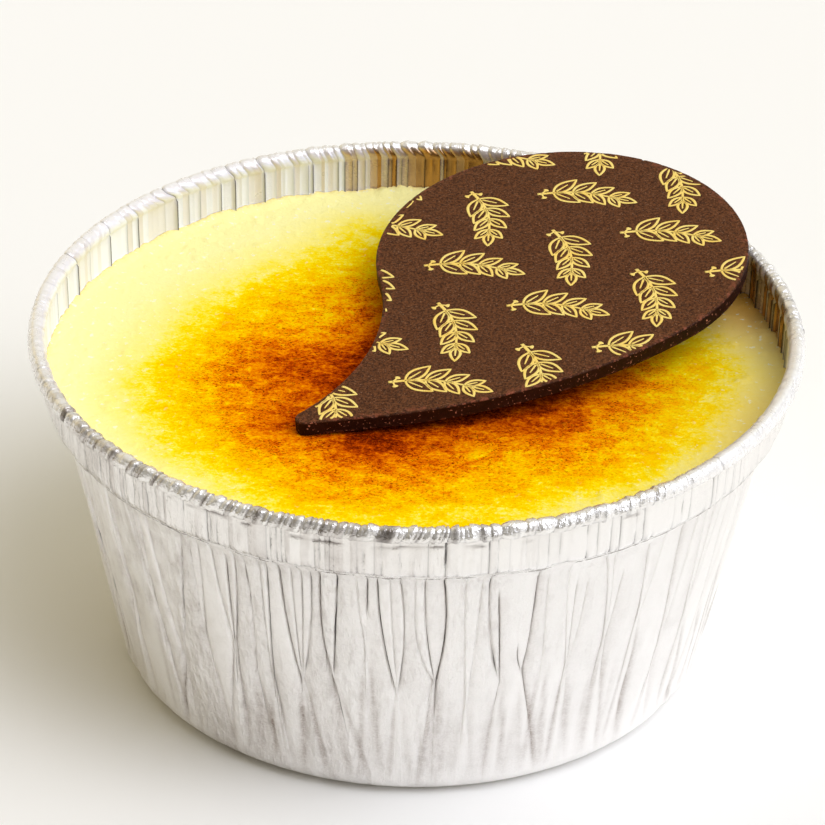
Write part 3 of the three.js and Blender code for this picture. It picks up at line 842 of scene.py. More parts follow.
def press_collar(strips, outside, near_foot, height, gather, random):
    """Relief of the collar: its strips, its foot drawn in, short folds under the bead and notches
    where creases reach the foot. Returns too the folds and the notches."""
    middle = LEDGE_HEIGHT + 0.3 * ring_noise(strips.angle, 0.0, LEDGE_RISE)
    ledge = np.clip(2.2 * ring_noise(strips.angle, 0.0, LEDGE_PLACES) - 0.5, 0.0, 1.0) * gather
    ledge = ledge * np.exp(-((height - middle) / LEDGE_HALF_HEIGHT) ** 2) * outside
    notch = random.uniform(0.0, 1.0, strips.count) ** 3
    notched = (notch[strips.left] * crease_profile(strips.from_left, RIM_HALF_WIDTH)
               + notch[strips.right] * crease_profile(strips.from_right, RIM_HALF_WIDTH))
    above_foot = height - COLLAR_FOOT_HEIGHT
    notched = notched * np.exp(-((above_foot - 0.5) / NOTCH_HALF_HEIGHT) ** 2) * outside
    swell = FOOT_SWELL_DEPTH * (1.0 + ring_noise(strips.angle, 0.0, FOOT_SWELL))
    relief = flat_strips(strips, random, STRIP_BASE[1], COLLAR_TILT) + swell * near_foot
    return relief + LEDGE_DEPTH * ledge + NOTCH_DEPTH * notched, ledge, notched


def shade_rim(strips, sides, turn, height, gather, random):
    """Painted shade of the rim's foil: some strips of it, clouds on the collar's shaded side, and
    the bead's named places as painted dark reflections. Returns too their painted dark lines."""
    outside, roll, inside = sides
    here, side_shade = signed(strips.angle), shaded_side(strips.angle)
    tones = per_strip(strips, random, 0.0, 1.0) ** 2
    named = np.zeros_like(here)
    for place, width, darkness in BEAD_SHADES:
        named = np.maximum(named, darkness * np.exp(-((here - place) / width) ** 4))
    gathered = gather * (0.25 + 0.75 * side_shade * smoothstep(-85.0, -58.0, here))
    cloudy = 0.5 + 0.5 * ring_noise(strips.angle, height, COLLAR_CLOUDS)
    shade = (outside * (0.05 * tones + side_shade * (0.26 * tones + 0.14 * cloudy))
             + roll * np.maximum(0.5 * tones, named) * gathered
             + inside * 0.4 * tones ** 2 * gather)
    return shade, 0.65 * named ** 2 * window(turn, *FACING_TURN) * roll


def whiten_rim(strips, sides, turn, gather, random):
    """Where the rim shows the foil's inner side, and how white and matt it is there and on top
    of the bead. Less white inside is a painted brown reflection of the custard and plaque."""
    roll, inside = sides[1:]
    white = by_angle(INNER_WHITE, strips.angle)
    white = white + INNER_WHITE_SPREAD * gather * per_strip(strips, random, -0.5, 0.5)
    inner_side = np.where(inside, 1.0, roll * smoothstep(50.0 + 60.0 * gather, 170.0, turn))
    matt = BEAD_MATT * (0.4 + 0.6 * per_strip(strips, random, 0.0, 1.0))
    matt = matt * smoothstep(-10.0, 50.0, turn) + 0.5 * (1.0 - gather)
    matt = matt * roll * (1.0 - inner_side)
    return inner_side, np.clip(white, 0.0, 1.0) * inner_side + matt


def make_rim(material):
    """The plain collar with its creases, the rolled bead and the inner wall above the custard,
    gathered into narrow strips. Each strip is flat and tilted sideways:
    offset = base + slope * (distance from its left border - half its width)."""
    random = np.random.default_rng(29)
    section, kind, bead = rim_section()
    creases = rim_creases(random)
    strips = strip_columns(creases[:, 0], math.radians(COLLAR_TOP_RADIUS), RIM_NEAR, RIM_COLUMN)
    sides = [kind[:, None] == value for value in range(3)]
    outside, roll, inside = sides
    height = section[:, 1][:, None]
    near_foot = 1.0 - smoothstep(*FOOT_ZONE, height - COLLAR_FOOT_HEIGHT)
    turn = np.degrees(np.arctan2(section[:, 1] - bead[1], section[:, 0] - bead[0]))[:, None]
    turn = np.where(turn < BEAD_FLATS[0], turn + TURN, turn)
    gather = by_angle(RIM_GATHER, strips.angle)
    groove, line = rim_grooves(creases, strips, height, sides)

    slant = BEAD_SLANT * (0.4 + 0.6 * ring_noise(strips.angle, 0.0, SLANT_CHANGE))
    slant = slant * (1.8 - 0.8 * gather)
    angle = strips.angle + slant * window(turn, *SLANT_TURN) * roll
    relief = bead_relief(strips, angle, turn, gather, random) + groove
    relief = np.clip(relief, 0.0, BEAD_RELIEF) * window(turn, *RELIEF_TURN)
    rolled_radius, rolled_height = roll_in(section, bead, relief)

    dented = groove + COLLAR_DENT_DEPTH * ring_noise(angle, height, COLLAR_DENTS)
    collar, ledge, notched = press_collar(strips, outside, near_foot, height, gather, random)
    inner = flat_strips(strips, random, STRIP_BASE[2], INNER_TILT) * gather + dented - 0.1
    radius = section[:, 0][:, None] - outside * np.minimum(collar + dented, COLLAR_RELIEF)
    radius = np.where(roll, rolled_radius, radius - inside * inner)
    rounded = np.sqrt(4.0 * strips.between * (1.0 - strips.between))
    scallops = per_strip(strips, random, -0.5, 0.5) * rounded
    foot_wave = COLLAR_SCALLOP * (ring_noise(strips.angle, 0.0, FOOT_WAVE) + scallops)
    level = np.where(roll, rolled_height, height) + foot_wave * near_foot * outside

    # Painted shade and painted dark reflections of the rim.
    shade, dark_places = shade_rim(strips, sides, turn, height, gather, random)
    inner_side, white = whiten_rim(strips, sides, turn, gather, random)
    # Painted shade lines at the short folds and notches, and in the bead's painted reflections.
    line = line + 0.5 * ledge ** 2 + 0.6 * notched + dark_places
    wrinkled = (outside * 0.6 * by_angle(RIM_WRINKLES, strips.angle)
                + roll * 0.5 * gather * (1.0 - inner_side))
    grid = around(angle, radius, level)
    faces = [grid_faces(len(section), len(strips.angle), rows_close=True)]
    return make_piece("foil_rim", grid.reshape(-1, 3), faces, material,
                      {"crease": line, "inner": inner_side, "white": white,
                       "hollow": shade + 0.5 * ledge, "wrinkle": wrinkled})


# ---- Custard ----------------------------------------------------------------------------------

def custard_height(x, y):
    """Height of the skin: low waves, smaller lumps that grow towards the edge, blisters of foam
    beside the foil, and the custard drawn up a little where it meets the foil."""
    reach = np.hypot(x, y)
    long = np.sin(x * 0.17 + 0.6) * np.cos(y * 0.21 - 0.4)
    short = np.sin(x * 0.38 + y * 0.29 + 1.1)
    height = CUSTARD_TOP - CUSTARD_SUNK + CUSTARD_SWELL * (0.6 * long + 0.4 * short)
    edge = smoothstep(30.0, 40.0, reach)
    for (size, tall, more), seed in ((CUSTARD_LUMPS, 41), (CUSTARD_GRAIN, 43)):
        height = height + plane_noise(x, y, size, seed) * (tall + more * edge)
    foam = np.maximum(plane_noise(x, y, 1.5, 45), 0.0) * smoothstep(37.6, 40.2, reach)
    blisters = np.maximum(plane_noise(x, y, 1.1, 46) - 0.30, 0.0) * smoothstep(27.0, 34.0, reach)
    rise = MENISCUS * smoothstep(38.9, 40.8, reach) * (0.6 + 0.4 * plane_noise(x, y, 4.0, 47))
    return height + FOAM_HEIGHT * (foam + blisters) + rise


def spots(x, y, table):
    """Sum of amount * exp(-(distance from the spot / radius) ** 2) over the spots of a table."""
    total = np.zeros_like(x)
    for spot_x, spot_y, radius, amount in table:
        total += amount * np.exp(-(np.hypot(x - spot_x, y - spot_y) / radius) ** 2)
    return total


def make_custard(material):
    """Rings of the custard: a plain body that fills the cup, and its skin on fine rings from the
    foil in to the middle. The scorch attribute is the distance from the middle of the burn, less
    where the torch lingered."""
    columns = 760
    angle = np.linspace(0.0, TURN, columns, endpoint=False)
    inner_foot = BASE_RADIUS - WALL_ROOM + 0.05
    body = [(12.0, CUSTARD_FLOOR), (28.0, CUSTARD_FLOOR), (inner_foot, 4.0),
            (WALL_TOP_RADIUS - WALL_ROOM, 31.2), (38.6, 32.95), (40.2, 33.6), (40.55, 34.1)]
    brim = COLLAR_FOOT_RADIUS - COLLAR_RELIEF - 0.06
    skin = np.concatenate([np.linspace(brim, 36.0, 26), np.linspace(35.7, 1.0, 92)])
    rings = [around(angle, radius, height) for radius, height in body]
    for radius in skin:
        ring = around(angle, radius, 0.0)
        ring[:, 2] = custard_height(ring[:, 0], ring[:, 1])
        rings.append(ring)
    points, faces = closed_shell(np.array(rings))
    x, y = points[:, 0], points[:, 1]
    burn = np.hypot(x - BURN_CENTRE[0], y - BURN_CENTRE[1])
    # The tan tint is painted shade by the right wall and the plaque.
    marks = {"scorch": burn - spots(x, y, SCORCH_SPOTS),
             "painted_tan_shade": np.clip(spots(x, y, PAINTED_SHADE_SPOTS), 0.0, 1.0),
             "brim": smoothstep(brim - 0.9, brim, np.hypot(x, y))}
    return make_piece("custard_fill", points, faces, material, marks)


# ---- Chocolate plaque -------------------------------------------------------------------------

def way(angle):
    """The direction at an angle from +X, in radians, as (x, y)."""
    return np.array([math.cos(angle), math.sin(angle)])


def plaque_outline(count):
    """Points of the comma's outline, anticlockwise and evenly spaced, and its length. The middle
    of the round end is at (0, 0) and the tip along +X. The stretches are the tip, the straight
    and full side, the round end and the hollow side."""
    hollow_way, full_way, tip_way = (
        way(math.radians(angle)) for angle in (HOLLOW_START, FULL_START, TIP_PLACE))
    hollow_middle = (PLAQUE_RADIUS + HOLLOW_RADIUS) * hollow_way
    full_middle = (PLAQUE_RADIUS - FULL_RADIUS) * full_way
    tip_middle = hollow_middle + (HOLLOW_RADIUS + TIP_RADIUS) * tip_way
    reach = np.linalg.norm(tip_middle - full_middle)
    lean = math.atan2(*(tip_middle - full_middle)[::-1])
    straight = math.degrees(lean + math.acos((FULL_RADIUS - TIP_RADIUS) / reach))
    stretches = [
        arc_points(tip_middle, TIP_RADIUS, TIP_PLACE - 180.0, straight, 60),
        arc_points(full_middle, FULL_RADIUS, straight, FULL_START, 300),
        arc_points((0.0, 0.0), PLAQUE_RADIUS, FULL_START, TURN + HOLLOW_START, 900),
        arc_points(hollow_middle, HOLLOW_RADIUS, 180.0 + HOLLOW_START, TIP_PLACE, 400),
    ]
    line = np.concatenate(stretches)
    line = np.concatenate([line, line[:1]])
    run = np.append(0.0, np.cumsum(np.linalg.norm(np.diff(line, axis=0), axis=1)))
    at = np.linspace(0.0, run[-1], count, endpoint=False)
    return np.stack([np.interp(at, run, line[:, 0]), np.interp(at, run, line[:, 1])], 1), run[-1]


def plaque_top(x, y):
    """Height of the top face above the solid's underside: flat, with very low waves."""
    wave = 0.02 * np.sin(x * 0.16 + 0.4) * np.cos(y * 0.19) - 0.02
    return PLAQUE_FACE + wave


def plaque_place():
    """The turn and shift that lay the plaque on the rim and the custard. It leans down towards
    its tip by atan((rim top - custard top) / distance between the two points it rests on)."""
    lean = math.atan2(RIM_TOP - CUSTARD_TOP, 2.0 * PLAQUE_RADIUS + RIM_CONTACT_BACK)
    middle = RIM_TOP - RIM_CONTACT_BACK * math.tan(lean) + PLAQUE_GAP / math.cos(lean)
    turn = Matrix.Rotation(math.radians(PLAQUE_TURN), 3, "Z") @ Matrix.Rotation(lean, 3, "Y")
    return np.array(turn), np.array([PLAQUE_CENTRE[0], PLAQUE_CENTRE[1], middle])


def place_on_cup(points):
    """Points of the plaque's own frame, moved to where the plaque lies."""
    turn, shift = plaque_place()
    return points @ turn.T + shift


def make_plaque(material):
    """Rings round the comma: the underside from its middle out, a rounded lower edge, the side,
    a rounded upper edge with small chips, and the top face back to the middle. The attributes
    tell the worn edges and the side, which gets painted shade, from the top face."""
    columns = 960
    outline, length = plaque_outline(columns)
    ahead, behind = np.roll(outline, -1, axis=0), np.roll(outline, 1, axis=0)
    along = (ahead - behind) / np.linalg.norm(ahead - behind, axis=1, keepdims=True)
    outward = np.stack([along[:, 1], -along[:, 0]], 1)
    run = np.arange(columns) / columns * length
    middle = np.array(PLAQUE_MIDDLE)
    bottom, top, edge = -PLAQUE_GAP, PLAQUE_FACE, PLAQUE_EDGE
    rings, worn, cut = [], [], []

    def along_edge(size, row, seed, sharp=False):
        """Noise along the outline with features of the given size."""
        return lattice_noise(run / size, row, seed, 2000, sharp)

    def drawn_in(quarter, rough, row, chipped=0.0):
        """The outline drawn in by the rounding of its edge, its roughness and its chips."""
        inset = edge * (1.0 - math.cos(quarter)) + 0.02 + rough * np.abs(along_edge(0.3, row, 55))
        return outline - outward * (inset + chipped)[:, None]

    def add_ring(place, height, edge_mark, side_mark):
        rings.append(np.column_stack([place, np.broadcast_to(height, columns)]))
        worn.append(np.broadcast_to(edge_mark, columns))
        cut.append(np.broadcast_to(side_mark, columns))

    chips = np.maximum(along_edge(CHIP_SIZE, 0.5, 53, True) - 0.30, 0.0) * CHIP_DEPTH
    chips *= 0.35 + 0.65 * smoothstep(-0.2, 0.5, along_edge(5.0, 1.5, 54))
    for share in np.linspace(0.04, 1.0, 10):
        add_ring(middle + (outline - outward * edge - middle) * share, bottom, 0.0, 1.0)
    for quarter in np.radians(np.linspace(90.0, 0.0, 5))[1:]:
        height = bottom + edge * (1.0 - math.sin(quarter))
        add_ring(drawn_in(quarter, 0.03, 9.0), height, 0.45, 1.0)
    for height in np.linspace(bottom + edge, top - edge, 9)[1:]:
        add_ring(drawn_in(0.0, 0.05, height / 0.35), height, 0.0, 1.0)
    for step, quarter in enumerate(np.radians(np.linspace(0.0, 90.0, 6))[1:]):
        weight = (step + 1) / 5.0
        height = top - edge * (1.0 - math.sin(quarter)) - chips * (1.0 - abs(weight - 0.6))
        add_ring(drawn_in(quarter, 0.03, 3.0 + step, chips * weight), height,
                 1.0 - 0.5 * abs(weight - 0.5), 1.0 - weight)
    inner = rings[-1][:, :2]
    for share in 1.0 - np.linspace(0.0, 1.0, 34)[1:-1] ** 0.9:
        x, y = (middle + (inner - middle) * share).T
        height = plaque_top(x, y) + 0.012 * plane_noise(x, y, 0.7, 57) - 0.01
        add_ring(np.stack([x, y], 1), height, 0.3 * float(share > 0.985), 0.0)
    points, faces = closed_shell(np.array(rings))
    # The side's mark gives it a darker colour: painted shade.
    marks = {"edge": np.append(np.concatenate(worn), [0.0, 0.0]),
             "cut": np.append(np.concatenate(cut), [1.0, 0.0])}
    return make_piece("plaque_body", place_on_cup(points), faces, material, marks)


# ---- Gold decoration --------------------------------------------------------------------------

def leaf_strokes(foot, lean, length):
    """A pointed leaf drawn as a loop, across = width * sin(pi * along / length) to either side,
    with a short vein."""
    share = np.concatenate([np.linspace(0.0, 1.0, 20), np.linspace(1.0, 0.0, 20)[1:]])
    side = np.where(np.arange(len(share)) < 20, 1.0, -1.0)
    along = length * share
    across = side * LEAF_WIDTH * length * np.sin(np.pi * share ** 0.85)
    ahead, left = way(lean), way(lean + math.pi / 2.0)
    loop = foot + along[:, None] * ahead + across[:, None] * left
    vein = foot + np.linspace(0.12, 0.62, 8)[:, None] * length * ahead
    return [(loop, GOLD_LINE * (0.72 + 0.28 * np.sin(np.pi * share))),
            (vein, GOLD_LINE * np.linspace(0.8, 0.45, 8))]


def branch_strokes():
    """Lines of one small branch, each (points, width along it): a slightly bowed stem, pairs of
    pointed leaves that get smaller, a leaf at the end, and a berry on a stalk below the pairs."""
    share = np.linspace(0.0, 1.0, 40)
    stem = np.stack([BRANCH_LENGTH * share, BRANCH_BOW * np.sin(np.pi * share)], 1)
    strokes = [(stem, GOLD_LINE * np.linspace(1.25, 0.8, 40))]
    for pair in range(LEAF_PAIRS):
        place = 0.20 + 0.72 * pair / (LEAF_PAIRS - 1)
        foot = np.array([BRANCH_LENGTH * place, BRANCH_BOW * math.sin(math.pi * place)])
        heading = math.atan(BRANCH_BOW * math.pi / BRANCH_LENGTH * math.cos(math.pi * place))
        length = LEAF_LENGTH[0] + (LEAF_LENGTH[1] - LEAF_LENGTH[0]) * pair / (LEAF_PAIRS - 1)
        for side in (-1.0, 1.0):
            strokes += leaf_strokes(foot, heading + side * math.radians(LEAF_LEAN), length)
    strokes += leaf_strokes(stem[-1], -math.atan(BRANCH_BOW * math.pi / BRANCH_LENGTH), END_LEAF)
    for side in (-1.0, 1.0):
        along = np.linspace(0.0, BERRY_STALK, len(BERRY_WIDTHS))[:, None]
        stalk = stem[2] + along * way(side * math.radians(BERRY_LEAN))
        strokes.append((stalk, BERRY_WIDTHS))
    return strokes


def inside_comma(points):
    """Distance from the outline, positive inside, for points of the plaque's own frame."""
    outline, _ = plaque_outline(720)
    ahead = np.roll(outline, -1, axis=0)
    gaps = np.linalg.norm(points[:, None, :] - outline[None], axis=-1).min(axis=1)
    y = points[:, 1][:, None]
    crosses = (outline[:, 1] > y) != (ahead[:, 1] > y)
    slope = (ahead[:, 0] - outline[:, 0]) / np.where(ahead[:, 1] == outline[:, 1], 1.0,
                                                     ahead[:, 1] - outline[:, 1])
    hits = points[:, 0][:, None] < outline[:, 0] + (y - outline[:, 1]) * slope
    inside = (crosses & hits).sum(axis=1) % 2 == 1
    return np.where(inside, gaps, -gaps)


def ribbon(line, widths):
    """Points and faces of a thin flattened tube along a line on the plaque's top face."""
    ahead = np.gradient(line, axis=0)
    ahead /= np.linalg.norm(ahead, axis=1, keepdims=True)
    across = np.stack([ahead[:, 1], -ahead[:, 0]], 1)
    corners = np.radians(np.arange(6) * 60.0)
    side = np.cos(corners)[None, :, None] * across[:, None, :] * (widths / 2.0)[:, None, None]
    flat = line[:, None, :] + side
    level = plaque_top(flat[..., 0], flat[..., 1]) + GOLD_LIFT * 0.5 * (np.sin(corners) + 0.3)
    grid = np.concatenate([flat, level[..., None]], -1)
    return closed_shell(grid)


def make_gold(material):
    """Staggered rows of small branches over the whole top face, which lean to alternate sides,
    with each line cut off where it reaches the plaque's edge."""
    all_points, all_faces, count = [], [], 0
    for row in range(-4, 8):
        lean = math.radians(90.0 + (BRANCH_LEAN if row % 2 else -BRANCH_LEAN))
        axes = np.array([way(lean), way(lean + math.pi / 2.0)])
        for step in range(-3, 5):
            shift = np.array([row * BRANCH_ROW, (step + 0.5 * (row % 2)) * BRANCH_STEP])
            for line, widths in branch_strokes():
                placed = (line - np.array([BRANCH_LENGTH / 2.0, 0.0])) @ axes + shift
                if np.hypot(placed[:, 0], placed[:, 1]).min() > PRINT_REACH:
                    continue
                kept = inside_comma(placed) > GOLD_MARGIN
                ends = np.flatnonzero(np.diff(np.concatenate([[0], kept.astype(int), [0]])))
                for first, last in zip(ends[::2], ends[1::2]):
                    if last - first < 4:
                        continue
                    points, faces = ribbon(placed[first:last], widths[first:last])
                    all_points.append(points)
                    all_faces.append([part + count for part in faces])
                    count += len(points)
    quads = np.concatenate([faces[0] for faces in all_faces])
    triangles = np.concatenate([part for faces in all_faces for part in faces[1:]])
    points = place_on_cup(np.concatenate(all_points))
    return make_piece("gold_branches", points, [quads, triangles], material)


# ---- Materials --------------------------------------------------------------------------------

def colour(red, green, blue):
    """A colour as it looks on a screen, 0 to 255, turned into the linear one a shader takes."""
    share = np.array([red, green, blue]) / 255.0
    linear = np.where(share <= 0.04045, share / 12.92, ((share + 0.055) / 1.055) ** 2.4)
    return (*linear.tolist(), 1.0)


def feed(tree, value, socket):
    """Links a node's output to a socket, or sets the socket to a plain value."""
    if isinstance(value, bpy.types.NodeSocket):
        tree.links.new(value, socket)
    else:
        socket.default_value = value


def coordinates(tree, scale=(1000.0, 1000.0, 1000.0), shift=(0.0, 0.0, 0.0)):
    """Object coordinates through a Mapping node; scale 1000 gives millimetres."""
    source = tree.nodes.new("ShaderNodeTexCoord")
    mapping = tree.nodes.new("ShaderNodeMapping")
    tree.links.new(source.outputs["Object"], mapping.inputs["Vector"])
    mapping.inputs["Location"].default_value = shift
    mapping.inputs["Scale"].default_value = scale
    return mapping.outputs["Vector"]


def noise(tree, vector, scale, detail=2.0, roughness=0.5, distortion=0.0):
    node = tree.nodes.new("ShaderNodeTexNoise")
    feed(tree, vector, node.inputs["Vector"])
    for name, value in (("Scale", scale), ("Detail", detail), ("Roughness", roughness),
                        ("Distortion", distortion)):
        feed(tree, value, node.inputs[name])
    return node.outputs[0]


def maths(tree, operation, first, second=0.0, clamp=False):
    node = tree.nodes.new("ShaderNodeMath")
    node.operation = operation
    node.use_clamp = clamp
    feed(tree, first, node.inputs[0])
    feed(tree, second, node.inputs[1])
    return node.outputs[0]


def plus(tree, first, second, clamp=False):
    return maths(tree, "ADD", first, second, clamp)


def times(tree, first, second, clamp=False):
    return maths(tree, "MULTIPLY", first, second, clamp)


def vector_maths(tree, operation, first, second):
    """A dot product as a value, or a scaled or added vector."""
    node = tree.nodes.new("ShaderNodeVectorMath")
    node.operation = operation
    feed(tree, first, node.inputs[0])
    feed(tree, second, node.inputs["Scale" if operation == "SCALE" else 1])
    return node.outputs["Value" if operation == "DOT_PRODUCT" else "Vector"]


def remap(tree, value, low, high, new_low=0.0, new_high=1.0):
    node = tree.nodes.new("ShaderNodeMapRange")
    for index, given in enumerate((value, low, high, new_low, new_high)):
        feed(tree, given, node.inputs[index])
    return node.outputs[0]


def mix_colours(tree, share, first, second, blend="MIX"):
    node = tree.nodes.new("ShaderNodeMix")
    node.data_type = "RGBA"
    node.blend_type = blend
    feed(tree, share, node.inputs[0])
    feed(tree, first, node.inputs[6])
    feed(tree, second, node.inputs[7])
    return node.outputs[2]


def ramp(tree, value, stops):
    """A colour ramp with stops of (place, colour)."""
    node = tree.nodes.new("ShaderNodeValToRGB")
    feed(tree, value, node.inputs[0])
    elements = node.color_ramp.elements
    while len(elements) < len(stops):
        elements.new(1.0)
    for element, (place, tint) in zip(elements, stops):
        element.position = place
        element.color = tint
    return node.outputs[0]


def bump(tree, height, strength, distance, under=None):
    node = tree.nodes.new("ShaderNodeBump")
    node.inputs["Strength"].default_value = strength
    node.inputs["Distance"].default_value = distance
    feed(tree, height, node.inputs["Height"])
    if under is not None:
        feed(tree, under, node.inputs["Normal"])
    return node.outputs[0]


def mark(tree, name):
    node = tree.nodes.new("ShaderNodeAttribute")
    node.attribute_name = name
    return node.outputs["Fac"]


def new_material(name):
    material = bpy.data.materials.new(name)
    material.use_nodes = True
    tree = material.node_tree
    return material, tree, tree.nodes["Principled BSDF"]


def grain_group():
    """Grain: fine and coarse noise on a surface, as a height, a mask of scattered specks and soft
    clouds. Inputs are the place in millimetres, the size of the grain and how rare the specks
    are."""
    group = bpy.data.node_groups.new("Grain", "ShaderNodeTree")
    for name, kind in (("Place", "NodeSocketVector"), ("Size", "NodeSocketFloat"),
                       ("Rarity", "NodeSocketFloat")):
        group.interface.new_socket(name, in_out="INPUT", socket_type=kind)
    for name in ("Height", "Specks", "Cloud"):
        group.interface.new_socket(name, in_out="OUTPUT", socket_type="NodeSocketFloat")
    start = group.nodes.new("NodeGroupInput")
    end = group.nodes.new("NodeGroupOutput")
    place, size, rarity = start.outputs[:3]
    fineness = maths(group, "DIVIDE", 1.0, size)
    fine = noise(group, place, fineness, 3.0, 0.6)
    coarse = noise(group, place, times(group, fineness, 0.16), 2.0, 0.5)
    height = plus(group, times(group, fine, 0.6), times(group, coarse, 0.4))
    specks = remap(group, fine, rarity, plus(group, rarity, 0.05))
    for name, value in (("Height", height), ("Specks", specks), ("Cloud", coarse)):
        group.links.new(value, end.inputs[name])
    return group


def grain(tree, group, place, size, rarity):
    node = tree.nodes.new("ShaderNodeGroup")
    node.node_tree = group
    feed(tree, place, node.inputs["Place"])
    feed(tree, size, node.inputs["Size"])
    feed(tree, rarity, node.inputs["Rarity"])
    return node.outputs


def foil_material(name, group, roughness_low, roughness_high, grain_strength, grain_size):
    """Aluminium foil: bright metal, rougher in clouds and duller inside the rim, with rolled
    grain in its surface, painted shade as a greyer speckle in its hollows and wrinkles, and
    painted shade darkening the bottoms of the creases."""
    material, tree, shader = new_material(name)
    rolled = grain(tree, group, coordinates(tree, (900.0, 900.0, 1300.0)), grain_size, 0.66)
    bright = mix_colours(tree, rolled["Cloud"], colour(253, 250, 248), colour(255, 254, 252))
    white = mark(tree, "white")
    # Less white inside the rim is a painted brown reflection of the custard and plaque.
    inner = mix_colours(tree, white, colour(182, 136, 80), colour(243, 245, 255))
    bright = mix_colours(tree, mark(tree, "inner"), bright, inner)

    upright = noise(tree, coordinates(tree, (1000.0, 1000.0, 110.0)), 1.5, 3.0, 0.6)
    dimples = noise(tree, coordinates(tree, (1000.0, 1000.0, 700.0)), 0.9, 4.0, 0.65)
    wrinkle = mark(tree, "wrinkle")
    wrinkles = plus(tree, remap(tree, upright, 0.54, 0.63),
                    remap(tree, dimples, 0.56, 0.70, 0.0, 0.5))
    speckle = remap(tree, rolled["Height"], 0.42, 0.58, 0.6, 1.0)
    # Painted shade: a speckled grey in the hollows and the fine wrinkles.
    painted_shade = plus(tree, times(tree, mark(tree, "hollow"), speckle),
                times(tree, times(tree, wrinkle, wrinkles), 0.18), clamp=True)
    hollowed = mix_colours(tree, painted_shade, bright, colour(136, 116, 104))
    # Painted shade at the bottoms of the creases.
    dark = times(tree, mark(tree, "crease"), 1.1, clamp=True)
    creased = mix_colours(tree, dark, hollowed, colour(30, 20, 14))
    feed(tree, creased, shader.inputs["Base Color"])

    mirror = maths(tree, "SUBTRACT", FOIL_MIRROR, times(tree, white, 0.75))
    feed(tree, mirror, shader.inputs["Metallic"])
    roughness = remap(tree, rolled["Cloud"], 0.3, 0.7, roughness_low, roughness_high)
    feed(tree, plus(tree, roughness, times(tree, white, 0.2)), shader.inputs["Roughness"])
    crinkled = bump(tree, times(tree, wrinkle, plus(tree, upright, dimples)), 1.0, 0.00045)
    feed(tree, bump(tree, rolled["Height"], grain_strength, 0.0002, crinkled),
         shader.inputs["Normal"])
    return material


# The custard's colours, by the share of BROWNING_REACH from the middle of the burn outwards.
BROWNING_REACH = 40.0
BROWNING = [
    (0.06, (60, 14, 0)), (0.20, (116, 28, 0)), (0.305, (186, 67, 0)), (0.42, (232, 117, 0)),
    (0.53, (250, 158, 0)), (0.615, (254, 190, 0)), (0.70, (255, 214, 0)), (0.735, (255, 225, 12)),
    (0.765, (255, 233, 66)), (0.81, (255, 240, 122)), (0.87, (255, 244, 150)),
    (0.95, (255, 247, 170)),
]


